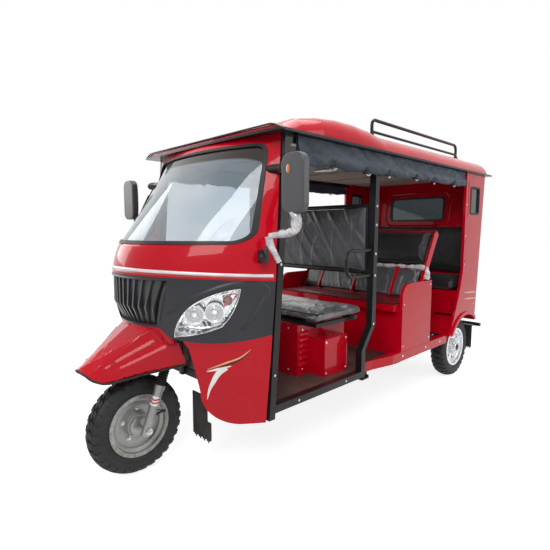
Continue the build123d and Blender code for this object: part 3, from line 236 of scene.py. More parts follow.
grey_wheel = finish("grey_wheel", (0.39, 0.40, 0.38), (0.32, 0.33, 0.315), (0.34, 0.5), 9,
                    ("noise", 300, 0.00008), metal=0.35, coat=0.3, wear=0.5, wear_colour=(0.12, 0.10, 0.08))
bright_wheel = finish("bright_wheel", (0.72, 0.73, 0.75), (0.60, 0.61, 0.63), (0.16, 0.32), 14,
                      ("noise", 90, 0.00012), metal=1.0)
silver = finish("fork_silver", (0.33, 0.345, 0.33), (0.26, 0.27, 0.26), (0.28, 0.44), 12,
                ("Z", 260, 0.00004), ("noise", 240, 0.00006), metal=0.7, dust=0.4)
cast = finish("cast_grey", (0.26, 0.27, 0.28), (0.20, 0.20, 0.20), (0.5, 0.7), 12,
              ("noise", 320, 0.0004), metal=0.6, dust=0.4)
bolt_steel = finish("bolt_steel", (0.62, 0.62, 0.62), (0.50, 0.50, 0.50), (0.22, 0.36), 60,
                    ("noise", 500, 0.00006), metal=1.0)
chrome = finish("chrome", (0.86, 0.87, 0.88), (0.78, 0.79, 0.80), (0.05, 0.12), 20,
                ("noise", 60, 0.00006), metal=1.0)
dash_plastic = finish("dash_plastic", (0.030, 0.030, 0.032), (0.038, 0.038, 0.040), (0.5, 0.62), 8,
                      ("cells", 620, 0.00012))
mirror_shell = finish("mirror_shell", (0.044, 0.046, 0.050), (0.036, 0.038, 0.042), (0.38, 0.5), 6,
                      ("cells", 800, 0.00006), coat=0.2, coat_rough=0.3)
lining = finish("lining", (0.34, 0.26, 0.21), (0.28, 0.21, 0.17), (0.75, 0.9), 5,
                ("X", 420, 0.0002), ("Y", 420, 0.0002), sheen=0.2)
amber = finish("amber_lens", (0.62, 0.17, 0.01), (0.52, 0.13, 0.01), (0.12, 0.2), 30,
               ("cells", 260, 0.0006), coat=1.0)
signal_tint = finish("signal_tint", (0.24, 0.05, 0.02), (0.18, 0.035, 0.015), (0.15, 0.25), 30,
                     ("cells", 260, 0.0006), coat=0.8)
red_lens = finish("red_lens", (0.42, 0.002, 0.006), (0.34, 0.001, 0.004), (0.12, 0.2), 30,
                  ("X", 130, 0.0006), ("Z", 130, 0.0006), coat=1.0)
white_lens = finish("white_lens", (0.80, 0.81, 0.82), (0.70, 0.71, 0.72), (0.12, 0.2), 30,
                    ("X", 130, 0.0006), coat=1.0)
stripe_white = finish("stripe_white", (0.80, 0.80, 0.80), (0.68, 0.67, 0.67), (0.25, 0.4), 16,
                      ("noise", 160, 0.00008), metal=0.25, coat=0.6)
stripe_gold = finish("stripe_gold", (0.68, 0.50, 0.22), (0.56, 0.40, 0.17), (0.25, 0.4), 16,
                     ("noise", 160, 0.00008), metal=0.3, coat=0.6)
stripe_red = finish("stripe_red", (0.50, 0.02, 0.02), (0.42, 0.015, 0.015), (0.3, 0.45), 16,
                    ("noise", 160, 0.00008), coat=0.4)
mirror_glass = finish("mirror_glass", (0.82, 0.84, 0.86), (0.80, 0.82, 0.84), (0.02, 0.05), 4,
                      ("noise", 8, 0.00004), metal=1.0)
dial = finish("dial_face", (0.72, 0.72, 0.70), (0.66, 0.66, 0.64), (0.3, 0.4), 30,
              ("noise", 300, 0.00004), coat=0.8)
red_vinyl = finish("red_vinyl", (0.20, 0.0016, 0.008), (0.15, 0.001, 0.006), (0.42, 0.56), 5,
                   ("cells", 330, 0.0003), coat=0.15, shine=0.3)


def vinyl_finish(name, film):
    """Grained seat vinyl; film from 0 to 1 is how much crinkled clear wrapping lies over it, and how strongly
    its painted highlights and painted reflection lighten the colour.
    """
    f = Finish(name)
    colour = f.two_tone(f.noise(5), (0.013, 0.013, 0.015), (0.022, 0.022, 0.025))
    f.bump(f.cells(330), 0.00030)
    if film:
        long_fold = f.ridges(2.2, 0.016 + 0.02 * film, (2.6, 1.0, 0.5), 0.3, 34)
        fine = f.ridges(8, 0.05, (1.5, 1.0, 0.9), 1.0, -30)
        # Painted light on the film: this veil is partly the film's own whitish haze and partly a painted
        # reflection, and the glint lines below are painted highlights along its folds.
        film_haze_and_painted_reflection = f.band(f.noise(2.2, 4, rough=0.5), 0.38, 0.66, 0.015 + 0.10 * film, 0.03 + 0.52 * film)
        painted_glint = f.maths("MULTIPLY", f.maths("MAXIMUM", long_fold,
                                            f.maths("MULTIPLY", fine, 0.2 + 0.6 * film)),
                        f.band(f.noise(5, 3), 0.42, 0.62, 0.02, 0.45 + 0.45 * film))
        colour = f.mix(f.maths("MAXIMUM", film_haze_and_painted_reflection, painted_glint), colour, (0.60, 0.62, 0.67))
        f.bump(f.maths("ADD", long_fold, fine), 0.0010 + 0.0014 * film, 0.8)
        f.bump(f.noise(14, 5, rough=0.65, warp=0.8), 0.003 + 0.008 * film, 0.8, "Coat Normal")
    f.colour(colour)
    f.roughness(f.noise(30, 4), 0.40 - 0.10 * film, 0.56 - 0.14 * film)
    f.put(Specular_IOR_Level=0.3, Coat_Weight=0.12 + 0.88 * film, Coat_Roughness=0.10, Sheen_Weight=0.05)
    return f.mat


def bubble_finish():
    """Clear wrapping with small blisters."""
    f = Finish("bubble_wrap")
    f.colour(f.two_tone(f.noise(22, 5), (0.80, 0.79, 0.81), (0.50, 0.47, 0.50)))
    f.roughness(f.noise(60), 0.12, 0.3)
    f.bump(f.band(f.cells(95), 0.0, 0.5, 1, 0), 0.004)
    f.bump(f.noise(40, 5), 0.004, 0.8)
    f.put(Coat_Weight=0.8, Coat_Roughness=0.1)
    return f.mat


def tarpaulin_finish():
    """Woven sheet, worn in long streaks."""
    f = Finish("tarpaulin")
    worn = f.noise(7, 5, (1, 1, 2.5))
    f.colour(f.two_tone(worn, (0.030, 0.041, 0.062), (0.078, 0.098, 0.135), 0.3, 0.7))
    f.roughness(f.noise(24, 4), 0.42, 0.62)
    for axis in "YZ":
        f.bump(f.wave(330, axis), 0.00030)
    f.bump(f.noise(18, 5, (1, 0.7, 1.3), warp=0.8), 0.007, 0.8)
    f.put(Specular_IOR_Level=0.3, Sheen_Weight=0.05, Coat_Weight=0.10, Coat_Roughness=0.35)
    return f.mat


def mat_finish():
    """Brown rubber floor mat with small raised studs and trodden dust."""
    f = Finish("floor_mat")
    f.colour(f.two_tone(f.noise(3, 6), (0.045, 0.022, 0.020), (0.095, 0.055, 0.048), 0.35, 0.7))
    f.roughness(f.noise(12, 5), 0.45, 0.7)
    f.bump(f.band(f.cells(52), 0.15, 0.45, 1, 0), 0.0016)
    f.bump(f.noise(240), 0.0002)
    return f.mat


def grille_finish():
    f = Finish("grille_grey")
    f.colour(f.two_tone(f.noise(9), (0.016, 0.016, 0.018), (0.024, 0.024, 0.027)))
    f.roughness(f.noise(30), 0.36, 0.5)
    f.bump(f.noise(600), 0.00005)
    f.put(Coat_Weight=0.3, Coat_Roughness=0.2)
    return f.mat


def glass_finish(name, tint, through, sun_strip=None, shine=0.5):
    """Glass that lets the lamps through; sun_strip is (tint, z_low, z_high, rise towards the corners)."""
    f = Finish(name)
    if sun_strip:
        top_tint, z_low, z_high, corner = sun_strip
        axes = f.axes()
        side = f.maths("POWER", f.maths("ABSOLUTE", axes[0], 0.0), 8.0)
        lifted = f.maths("ADD", axes[2], f.maths("MULTIPLY", side, corner))
        # Below the sun strip the colour is a grey-blue tint mottled with paler patches: partly the glass's
        # own tint, partly a painted sky reflection, shown by the share of the glass that is not clear.
        tint_and_painted_reflection = f.two_tone(f.noise(2.2, 5), tint, (0.60, 0.64, 0.66), 0.35, 0.7)
        f.colour(f.two_tone(lifted, tint_and_painted_reflection, top_tint, z_low, z_high))
    else:
        f.colour(f.two_tone(f.noise(4), tint, tuple(0.94 * c for c in tint), 0.3, 0.7))
    f.roughness(f.noise(6, 5), 0.01, 0.05)
    f.bump(f.noise(3.0), 0.0002, 0.4)
    f.put(IOR=1.45, Specular_IOR_Level=shine, Transmission_Weight=through, Coat_Weight=0.1,
          Coat_Roughness=0.02)
    both = f.node("ShaderNodeMixShader")
    f.link(f.node("ShaderNodeLightPath").outputs["Is Shadow Ray"], both.inputs[0])
    f.link(f.bsdf.outputs[0], both.inputs[1])
    f.link(f.node("ShaderNodeBsdfTransparent").outputs[0], both.inputs[2])
    f.link(both.outputs[0], f.tree.nodes["Material Output"].inputs["Surface"])
    return f.mat


seat_vinyl = vinyl_finish("seat_vinyl", 0.0)
back_vinyl = vinyl_finish("seat_vinyl_light_wrap", 0.22)
wrapped_vinyl = vinyl_finish("seat_vinyl_wrapped", 1.0)
bubble = bubble_finish()
tarpaulin = tarpaulin_finish()
floor_mat = mat_finish()
grille_grey = grille_finish()
# The windscreen's grey-blue tint, with a fifth of the glass not clear, is partly a painted sky reflection;
# the dark strip along its top is the screen's sun band.
SUN_STRIP = ((0.10, 0.065, 0.055), 1.650, 1.662, 9.0)
screen_glass = glass_finish("windscreen_glass", (0.42, 0.50, 0.56), 0.80, SUN_STRIP, 0.2)
window_glass = glass_finish("window_glass", (0.060, 0.072, 0.078), 0.75)
lamp_glass = glass_finish("lamp_glass", (0.93, 0.94, 0.95), 1.0)

# Slot of a piece by its material's name; the other materials are named like their slots.
SLOT_OF = {"stripe_white": "fork_silver", "chrome": "fork_silver", "bolt_steel": "fork_silver",
           "stripe_gold": "cast_grey", "stripe_red": "red_paint", "red_vinyl": "seat_vinyl",
           "dial_face": "dash_plastic", "white_lens": "lamp_lens", "lamp_glass": "lamp_lens",
           "amber_lens": "red_lens", "signal_tint": "red_lens", "mirror_glass": "clear_glass",
           "bubble_wrap": "clear_glass"}

NODE_FINISH = [
    (red, "front_cowl side_skirt_left side_skirt_right front_mudguard roof_shell rear_sills driver_seat_box"),
    (red, "middle_bench middle_backrest_frame rear_side_left rear_side_right rear_panel rear_bench_base"),
    (mask_grey, "front_mask"),
    (grille_grey, "grille"),
    (screen_glass, "windshield_glass"),
    (window_glass, "rear_windows"),
    (seal, "window_seals"),
    (red_lens, "tail_lamps"),
    (black, "side_frame_left side_frame_right grab_handles driver_seat_frame driver_backrest_frame"),
    (black, "roof_trim roof_rack side_lamps rear_bumper handlebar"),
    (chassis, "chassis_frame rear_axle drive_shaft leaf_springs"),
    (mirror_shell, "mirror_left mirror_right"),
    (dash_plastic, "dashboard instrument_pod"),
    (lining, "roof_lining"),
    (floor_mat, "floor_pan"),
    (cast, "engine_block"),
    (flap, "mud_flaps"),
    (silver, "front_fork"),
    (grey_wheel, "front_rim"),
    (bright_wheel, "rear_rim_left rear_rim_right"),
]
for look, names in NODE_FINISH:
    for node_name in names.split():
        for material_slot in NODES[node_name].material_slots:
            material_slot.material = look


# ---- mesh helpers
def piece(name, parts, look, slot=None, body="body", smooth=35):
    """Joins (points, faces) parts to one object that rides on a body; smooth is an edge angle or None."""
    points, faces = [], []
    for p, f in parts:
        faces += [tuple(i + len(points) for i in face) for face in f]
        points += [tuple(v) for v in p]
    mesh = bpy.data.meshes.new(name)
    mesh.from_pydata(points, [], faces)
    bm = bmesh.new()
    bm.from_mesh(mesh)
    bmesh.ops.recalc_face_normals(bm, faces=bm.faces)
    bm.to_mesh(mesh)
    bm.free()
    return place(name, mesh, look, slot, body, smooth)


def shown(name, data):
    obj = bpy.data.objects.new(name, data)
    bpy.context.scene.collection.objects.link(obj)
    return obj


def slot_for(look):
    """Slot of a finish; Blender numbers a material's name when the frame has one of that name."""
    name = look.name.split(".")[0]
    return SLOT_OF.get(name, name)


def place(name, mesh, look, slot=None, body="body", smooth=35):
    obj = shown(name, mesh)
    mesh.materials.clear()
    mesh.materials.append(look)
    if smooth:
        mesh.shade_smooth()
        mesh.set_sharp_from_angle(angle=radians(smooth))
    slot or slot_for(look)
    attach(obj, body)
    return obj


def block(centre, size, bevel=0.0, turn=None):
    bm = bmesh.new()
    bmesh.ops.create_cube(bm, size=1.0)
    for v in bm.verts:
        v.co = Vector(v.co[i] * size[i] for i in range(3))
    if bevel:
        bmesh.ops.bevel(bm, geom=bm.edges[:], offset=bevel, segments=2, affect="EDGES", profile=0.5)
    bm.verts.index_update()
    turn = turn or Matrix.Identity(3)
    points = [turn @ v.co + centre for v in bm.verts]
    faces = [tuple(v.index for v in face.verts) for face in bm.faces]
    bm.free()
    return points, faces


def across(direction):
    """Two unit vectors square to direction."""
    d = direction.normalized()
    a = d.cross(UP if abs(d.z) < 0.9 else Vector((1, 0, 0))).normalized()
    return a, d.cross(a).normalized()


def rings(rows, closed=True, caps=True):
    """Skin over rings with equal counts of points."""
    n = len(rows[0])
    points = [p for row in rows for p in row]
    faces = []
    for i in range(len(rows) - 1):
        for j in range(n if closed else n - 1):
            k = (j + 1) % n
            faces.append((i * n + j, i * n + k, (i + 1) * n + k, (i + 1) * n + j))
    if caps:
        faces.append(tuple(range(n)))
        faces.append(tuple((len(rows) - 1) * n + j for j in range(n)))
    return points, faces


def slab(outline, xs):
    """Plate with an outline of (y, z) in millimetres, from x to x."""
    return rings([[P(x, y, z) for y, z in outline] for x in xs])


def steps_along(points):
    """The points, each with the line's unit direction there and its share of the way."""
    last = len(points) - 1
    for i, p in enumerate(points):
        yield p, (points[min(i + 1, last)] - points[max(i - 1, 0)]).normalized(), i / last


def smooth_path(points, steps=6):
    """Catmull-Rom line through points."""
    pts = [points[0]] + list(points) + [points[-1]]
    out = []
    for a, b, c, d in zip(pts, pts[1:], pts[2:], pts[3:]):
        for s in range(steps):
            t = s / steps
            out.append(0.5 * (2 * b + (c - a) * t + (2 * a - 5 * b + 4 * c - d) * t * t
                              + (3 * b - a - 3 * c + d) * t ** 3))
    return out + [points[-1]]


def tube(points, radius, sides=10, caps=True):
    """Round tube along points; radius is a number or a function of the share of the way."""
    rows = []
    side = across(points[1] - points[0])[0]
    for p, along, share in steps_along(points):
        side = (side - along * side.dot(along)).normalized()
        other = along.cross(side)
        r = radius(share) if callable(radius) else radius
        rows.append([p + (side * cos(a) + other * sin(a)) * r for a in around(sides)])
    return rings(rows, caps=caps)


def lathe(profile, centre, axis, steps=48, caps=False):
    """Turns (distance along axis, radius) points about the axis."""
    a, b = across(axis)
    d = axis.normalized()
    return rings([[centre + d * s + (a * cos(t) + b * sin(t)) * r for t in around(steps)]
                  for s, r in profile],
                 caps=caps)


def bolt(at, out, radius=0.007, high=0.005):
    """Hexagon bolt head on a washer."""
    washer = lathe([(0, radius * 0.2), (0, radius * 1.35), (0.0014, radius * 1.35), (0.0014, radius * 0.2)],
                   at, out, 14, True)
    head = lathe([(0.001, radius), (high * 0.8, radius), (high, radius * 0.8)], at, out, 6, True)
    return [washer, head]


def bolts(spots):
    """Flat list of bolt parts from (at, out, radius) rows."""
    return [part for at, out, radius in spots for part in bolt(at, out, radius, radius * 0.75)]


def surface(*names):
    points, faces = [], []
    for name in names:
        mesh = NODES[name].data
        faces += [tuple(i + len(points) for i in p.vertices) for p in mesh.polygons]
        points += [v.co.copy() for v in mesh.vertices]
    return BVHTree.FromPolygons(points, faces)


def laid(tree, rows, lifts, sink=0.0006):
    """Closed strip on a surface. rows hold (start, direction) rays; lifts gives the height of each column."""
    loops = []
    for row in rows:
        top, low = [], []
        for (start, direction), lift in zip(row, lifts):
            hit, normal, _, _ = tree.ray_cast(start, direction)
            if hit is None:
                hit, normal, _, _ = tree.find_nearest(start + direction * 0.3)
            if normal.dot(direction) > 0:
                normal = -normal
            top.append(hit + normal * lift)
            low.append(hit - normal * sink)
        loops.append(top + low[::-1])
    return rings(loops)


def flag(tree, spine, widths, direction, lift=0.0009, columns=4):
    """Thin strip on a panel: spine, half widths, one ray direction, and a lift or one for each column."""
    lifts = list(lift) if isinstance(lift, tuple) else [lift] * columns
    columns = len(lifts)
    rows = []
    for p, along, way in steps_along(smooth_path(spine, 8)):
        side = along.cross(direction).normalized()
        share = way * (len(widths) - 1)
        k = min(int(share), len(widths) - 2)
        half = widths[k] + (widths[k + 1] - widths[k]) * (share - k)
        rows.append([(p - direction * 0.2 + side * half * (1 - 2 * j / (columns - 1)), direction)
                     for j in range(columns)])
    return laid(tree, rows, lifts, 0.0003)


# ---- nose: mouldings, stripe and decals
NOSE_CENTRE = P(0, 430, 0)
STRIPE_HEIGHT = 1.0965        # of the stripe's middle dead ahead, in metres
STRIPE_DROP = 0.029           # how much lower it is at the sides
LIP_DROP = 0.0125
RAY_BACK = 0.03               # how far outside a panel its decals' points are held
cowl = surface("front_cowl")
skirts = surface("side_skirt_left", "side_skirt_right", "front_mask", "front_cowl")
mask_tree = surface("front_mask")


def stripe_height(angle):
    return STRIPE_HEIGHT - STRIPE_DROP * (1 - cos(angle))


def band_round_nose(z_of, half, lifts, limit=92, steps=90):
    """Moulding round the cowl; z_of gives its height from the angle, half its half width."""
    rows = []
    for i in range(steps + 1):
        angle = radians(-limit + 2 * limit * i / steps)
        out = Vector((sin(angle), -cos(angle), 0))
        heights = [z_of(angle) + half * (1 - 2 * j / (len(lifts) - 1)) for j in range(len(lifts))]
        rows.append([(Vector((NOSE_CENTRE.x, NOSE_CENTRE.y, z)) + out * 1.0, -out) for z in heights])
    return laid(cowl, rows, lifts)


piece("nose_stripe", [band_round_nose(stripe_height, 0.0075, (0.0005, 0.0035, 0.0045, 0.0035, 0.0005))],
      stripe_white)
# The lip under the stripe is raised, and its darker red is a painted shadow line under the moulding.
piece("nose_stripe_shadow_lip", [band_round_nose(lambda a: stripe_height(a) - LIP_DROP, 0.0045,
                                          (0.0005, 0.0035, 0.0005))], stripe_red)

SKIRT_FACES, MASK_FACES = (0.70, 0.71), (0.80, 0.60)      # inward headings of the left panels: x, y
# name, surface, heading, look, lift, half widths along it, points on the left side
NOSE_FLAGS = [
    ("skirt_blade", skirts, SKIRT_FACES, stripe_white, 0.0009, (0.003, 0.014, 0.0115, 0.0065, 0.001),
     ((458, 268, 606), (425, 238, 583), (404, 220, 540), (388, 206, 495), (379, 199, 446))),
    ("skirt_wing", skirts, SKIRT_FACES, stripe_white, 0.0013, (0.001, 0.0065, 0.002),
     ((378, 198, 589), (420, 232, 602), (470, 280, 620))),
    ("skirt_sweep", skirts, SKIRT_FACES, stripe_gold, 0.0016, (0.0008, 0.0035, 0.0035, 0.0008),
     ((381, 200, 600), (448, 259, 634), (500, 312, 662), (536, 353, 703))),
    ("skirt_shade", skirts, SKIRT_FACES, flap, 0.0009, (0.0008, 0.003, 0.003, 0.0008),
     ((381, 201, 590), (448, 260, 622), (500, 313, 650), (528, 343, 682))),
    ("mask_crease", mask_tree, MASK_FACES, mask_grey, (0.0003, 0.0055, 0.0070, 0.0055, 0.0003),
     (0.003, 0.012, 0.015, 0.016, 0.016, 0.015, 0.014, 0.013, 0.012, 0.009, 0.003),
     ((271, 47, 886), (318, 78, 925), (372, 113, 959), (456, 199, 1006), (512, 276, 1030), (559, 361, 1030),
      (582, 413, 1014), (585, 420, 980), (570, 390, 920), (545, 348, 854), (515, 312, 806))),
    ("mask_seam", mask_tree, MASK_FACES, flap, 0.0006, (0.0022, 0.0022, 0.0022),
     ((291, 42, 1062), (268, 36, 960), (228, 32, 842))),
]
for side, tag in SIDES:
    for name, tree, (x, y), look, lift, widths, points in NOSE_FLAGS:
        inward = Vector((-side * x, y, 0)).normalized()
        spine = [p - inward * RAY_BACK for p in line(side, points)]
        piece(name + "_" + tag, [flag(tree, spine, widths, inward, lift)], look)

# raised edge of the grille: ends as (x, z), and the direction of its width
GRILLE_EDGES = (((-300, 1056), (300, 1056), (0, 4)), ((300, 1056), (213, 815), (4, 0)),
                ((-300, 1056), (-213, 815), (4, 0)))
frame_edge = []
for (x0, z0), (x1, z1), (dx, dz) in GRILLE_EDGES:
    middles = [(x0 + (x1 - x0) * i / 24, z0 + (z1 - z0) * i / 24) for i in range(25)]
    frame_edge.append(laid(mask_tree, [[(P(x + s * dx, -300, z + s * dz), BACK) for s in (-1, 0, 1)]
                                       for x, z in middles], (0.0004, 0.003, 0.0004)))
piece("grille_surround", frame_edge, mask_grey)

# ---- headlamps
# Spots in a lamp are (along the flank, height) from its centre, in mm.
LAMP_CENTRE = (400, 150, 880)
LAMP_HEADING = radians(52)
LAMP_BOWLS = [(-30, 0, 43), (68, 12, 42)]          # with their radius
LAMP_LEDS = [(-92, -70), (-66, -78), (-38, -84), (-10, -86), (18, -85)]
LAMP_SHELF = [(-104, -64), (-60, -62), (0, -66), (56, -60), (100, -40)]
LAMP_BROW = [(-52, 36), (-8, 66), (74, 96), (160, 112)]
SIGNAL_CELL = (132, 72)
SIGNAL_BEZEL = [(112, 44), (150, 70), (176, 104), (140, 98), (112, 44)]
BOWL_FOOT, BOWL_DEPTH = 0.004, 0.030
# turned parts: distance towards the lens and radius in metres
BULB = [(0.006, 0.014), (0.020, 0.0135), (0.027, 0.010), (0.030, 0.004)]
SIGNAL_BULB = [(0.004, 0.015), (0.014, 0.017), (0.022, 0.013), (0.026, 0.004)]
SIGNAL_DISH = [(0, 0.003), (0.004, 0.014), (0.014, 0.022), (0.016, 0.024), (0, 0.024)]


def split_lamp(node, outward):
    """Meshes of the lamp solid's front sheet and of its bowl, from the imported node."""
    found = []
    for front in (True, False):
        bm = bmesh.new()
        bm.from_mesh(NODES[node].data)
        bmesh.ops.remove_doubles(bm, verts=bm.verts, dist=1e-5)
        bm.normal_update()
        drop = [f for f in bm.faces if (f.normal.dot(outward) > 0.5) != front]
        bmesh.ops.delete(bm, geom=drop, context="FACES")
        mesh = bpy.data.meshes.new(node + ("_lens" if front else "_bowl"))
        bmesh.ops.solidify(bm, geom=bm.faces[:], thickness=0.0025 if front else 0.0015)
        bmesh.ops.recalc_face_normals(bm, faces=bm.faces)
        bm.to_mesh(mesh)
        bm.free()
        found.append(mesh)
    return found


def bowl_parts(at, outward, r):
    """Reflector of a radius with three raised rings."""
    dish = [(BOWL_FOOT, 0.004)] + [(BOWL_DEPTH * (k / 6) ** 2 + BOWL_FOOT, r * k / 6) for k in range(1, 7)]
    dish += [(0.037, r + 0.002), (0.037, r + 0.005), (0.0, r + 0.005)]
    parts = [lathe(dish, at, outward, 40)]
    for k in range(1, 4):
        ring_r = r * k / 3.6
        parts.append(lathe([(BOWL_DEPTH * (ring_r / r) ** 2 + BOWL_FOOT + h, ring_r + w)
                            for h, w in ((0, -0.0015), (0.0025, 0), (0, 0.0015))], at, outward, 40))
    return parts


def headlamp(side, tag):
    node = "headlamp_" + tag
    outward = Vector((side * sin(LAMP_HEADING), -cos(LAMP_HEADING), 0))
    flank = Vector((side * cos(LAMP_HEADING), sin(LAMP_HEADING), 0))
    lens_mesh, bowl_mesh = split_lamp(node, outward)
    lamp_tree = surface(node)
    centre, = line(side, [LAMP_CENTRE])

    def spot(u, v, depth):
        """Point at a depth behind the lens."""
        start = centre + flank * (u / 1000) + Vector((0, 0, v / 1000)) + outward * 0.3
        hit = lamp_tree.ray_cast(start, -outward)[0]
        if hit is None:
            hit = lamp_tree.find_nearest(start)[0]
        return hit - outward * (depth / 1000)

    def bead(spots, depth, steps, radius):
        return tube(smooth_path([spot(u, v, depth) for u, v in spots], steps), radius, 8)

    lens = place("lens_" + tag, lens_mesh, lamp_glass, smooth=30)
    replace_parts(lens, node)
    place("lamp_bowl_" + tag, bowl_mesh, chrome, "lamp_lens", smooth=30)
    dishes, domes = [], []
    for u, v, r in LAMP_BOWLS:
        at = spot(u, v, 52)
        dishes += bowl_parts(at, outward, r / 1000)
        domes.append(lathe(BULB, at, outward, 20, True))
    cell = spot(*SIGNAL_CELL, 38)
    dishes += [bead(LAMP_SHELF, 30, 5, 0.005), bead(LAMP_BROW, 16, 6, 0.004),
               lathe(SIGNAL_DISH, cell, outward, 28)]
    turn = Matrix.Rotation(side * LAMP_HEADING, 3, "Z")
    leds = [block(spot(u, v, 24) + outward * 0.012, (0.016, 0.016, 0.014), 0.003, turn) for u, v in LAMP_LEDS]
    piece("lamp_reflectors_" + tag, dishes, chrome)
    piece("lamp_bulbs_" + tag, domes, white_lens)
    piece("lamp_cells_" + tag, leds, dash_plastic)
    piece("signal_bulb_" + tag, [lathe(SIGNAL_BULB, cell, outward, 24, True)], signal_tint)
    piece("signal_bezel_" + tag, [bead(SIGNAL_BEZEL, 9, 5, 0.003)], red_lens)


for side, tag in SIDES:
    headlamp(side, tag)

# ---- front mudguard
NOSE_TURN = P(0, -150, 0)
CAD_NOSE = [(130, -149), (108, -214), (62, -271), (0, -285)]      # half of the solid's outline: x, y
ROUND_NOSE = (112, 136)       # half width and reach before the turn of the rounded outline, in mm
RIM_DROP = [(0, 0), (25, 3), (40, 9), (59, 4), (75, 11), (90, 8), (180, 8)]    # degrees from ahead, mm
FADE_END = -120               # how far behind the turn the rounding ends, in mm


def rounded_reach(angle, r, dy):
    """How far the rounded outline stretches the solid's at an angle, and how near the edge r is (0 to 1)."""
    ux, uy = sin(angle), cos(angle)
    for (x0, y0), (x1, y1) in zip(CAD_NOSE, CAD_NOSE[1:]):
        a, b = (x0, -150 - y0), (x1, -150 - y1)
        run = b[0] - a[0], b[1] - a[1]
        reach = (a[0] * run[1] - a[1] * run[0]) / (ux * run[1] - uy * run[0])
        along = (ux * reach - a[0]) * run[0] + (uy * reach - a[1]) * run[1]
        if -0.001 <= along / (run[0] ** 2 + run[1] ** 2) <= 1.001:
            new = ((ux / ROUND_NOSE[0]) ** 2.5 + (uy / ROUND_NOSE[1]) ** 2.5) ** (-1 / 2.5)
            edge = min(1.0, r / reach) ** 2
            return 1 + (new / reach - 1) * min(1.0, dy / 60) * edge, edge
    return 1.0, 0.0


def rounded_nose(p):
    """The mudguard's three-cornered front drawn out to a round one, seen from above and from the side."""
    dx, dy = (p.x - NOSE_TURN.x) * 1000, (NOSE_TURN.y - p.y) * 1000
    if dy <= FADE_END:
        return p
    r, angle = hypot(dx, dy), atan2(abs(dx), dy)
    if dy <= 0:
        half_width = 108 + 124 * (64 - dy) / 389
        scale, edge = 1.0, min(1.0, abs(dx) / half_width) ** 4 * (1 - dy / FADE_END)
    else:
        scale, edge = rounded_reach(angle, r, dy)
    turn = degrees(angle)
    for (a0, d0), (a1, d1) in zip(RIM_DROP, RIM_DROP[1:]):
        if a0 <= turn <= a1:
            drop = (d0 + (d1 - d0) * (turn - a0) / (a1 - a0)) * edge
    return Vector((NOSE_TURN.x + dx * scale / 1000, NOSE_TURN.y - dy * scale / 1000, p.z - drop / 1000))


def mudguard_skin(radius=0.014, longest=0.022):
    """The mudguard's solid with its folds, not its cut edges, eased to a radius, and its nose rounded."""
    bm = bmesh.new()
    bm.from_mesh(NODES["front_mudguard"].data)
    bmesh.ops.remove_doubles(bm, verts=bm.verts, dist=1e-5)
    bmesh.ops.dissolve_limit(bm, angle_limit=radians(1), verts=bm.verts, edges=bm.edges)
    folds = [e for e in bm.edges if len(e.link_faces) == 2 and e.is_convex
             and radians(7) < e.calc_face_angle() < radians(70)]
    bmesh.ops.bevel(bm, geom=folds, offset=radius, segments=3, affect="EDGES", profile=0.5,
                    clamp_overlap=True)
    bmesh.ops.triangulate(bm, faces=bm.faces)
    for _ in range(5):
        long_edges = [e for e in bm.edges if e.calc_length() > longest]
        bmesh.ops.subdivide_edges(bm, edges=long_edges, cuts=1)
        bmesh.ops.triangulate(bm, faces=bm.faces)
    for v in bm.verts:
        v.co = rounded_nose(v.co)
    mesh = bpy.data.meshes.new("mudguard_skin")
    bm.to_mesh(mesh)
    bm.free()
    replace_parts(place("mudguard_skin", mesh, red, smooth=30), "front_mudguard")
    return BVHTree.FromPolygons([v.co.copy() for v in mesh.vertices],
                                [tuple(p.vertices) for p in mesh.polygons])


RIM_POINTS = [(232, 172, 598), (200, 70, 587), (150, -100, 572), (108, -214, 562), (62, -270, 602),
              (0, -283, 617)]
MUDGUARD_FOLDS = (((139, -23, 768), (110, -123, 698), (80, -215, 630)),
                  ((176, 24, 740), (128, -106, 675), (88, -208, 620)),
                  ((214, 85, 712), (157, -67, 650), (104, -196, 606)))
skin_tree = mudguard_skin()
corners = line(1, RIM_POINTS)
half_rim = [rounded_nose(a.lerp(b, k / 8)) for a, b in zip(corners, corners[1:])
            for k in range(8)] + [corners[-1]]
rim_line = half_rim + [Vector((-p.x, p.y, p.z)) for p in reversed(half_rim[:-1])]
piece("mudguard_rim", [tube(rim_line, 0.006, 8)], flap)
onto_guard = Vector((0, 0.55, -0.83)).normalized()
piece("mudguard_creases", [flag(skin_tree, line(side, points), [0.007, 0.007, 0.003], onto_guard,
                                (0.0002, 0.0042, 0.0002)) for side in (1, -1) for points in MUDGUARD_FOLDS],
      red, smooth=20)

# ---- windscreen wiper
PIVOT = (-452, 1196)          # x, z
WIPER_ARM = [(*PIVOT, 0.020), (-448, 1260, 0.026), (-436, 1330, 0.024), (-424, 1400, 0.018)]   # with the lift
cowl_line = surface("windshield_glass", "front_cowl", "window_seals")


def on_screen(x, z, lift):
    hit, normal, _, _ = cowl_line.ray_cast(P(x, -700, z), BACK)
    return hit + (-normal if normal.y > 0 else normal) * lift


blade_line = [on_screen(-430 + 16 * k, 1250 + 62 * k, 0.010) for k in range(6)]
piece("wiper", [tube(smooth_path([on_screen(*spot) for spot in WIPER_ARM], 5), 0.0045, 8),
                lathe([(0, 0.013), (0.018, 0.011), (0.024, 0.007)], on_screen(*PIVOT, 0.0),
                      Vector((0, -0.9, 0.3)), 16, True),
                tube(blade_line, 0.0042, 6),
                tube([p + Vector((0, -0.006, 0.002)) for p in blade_line[1:5]], 0.0035, 6)], black)


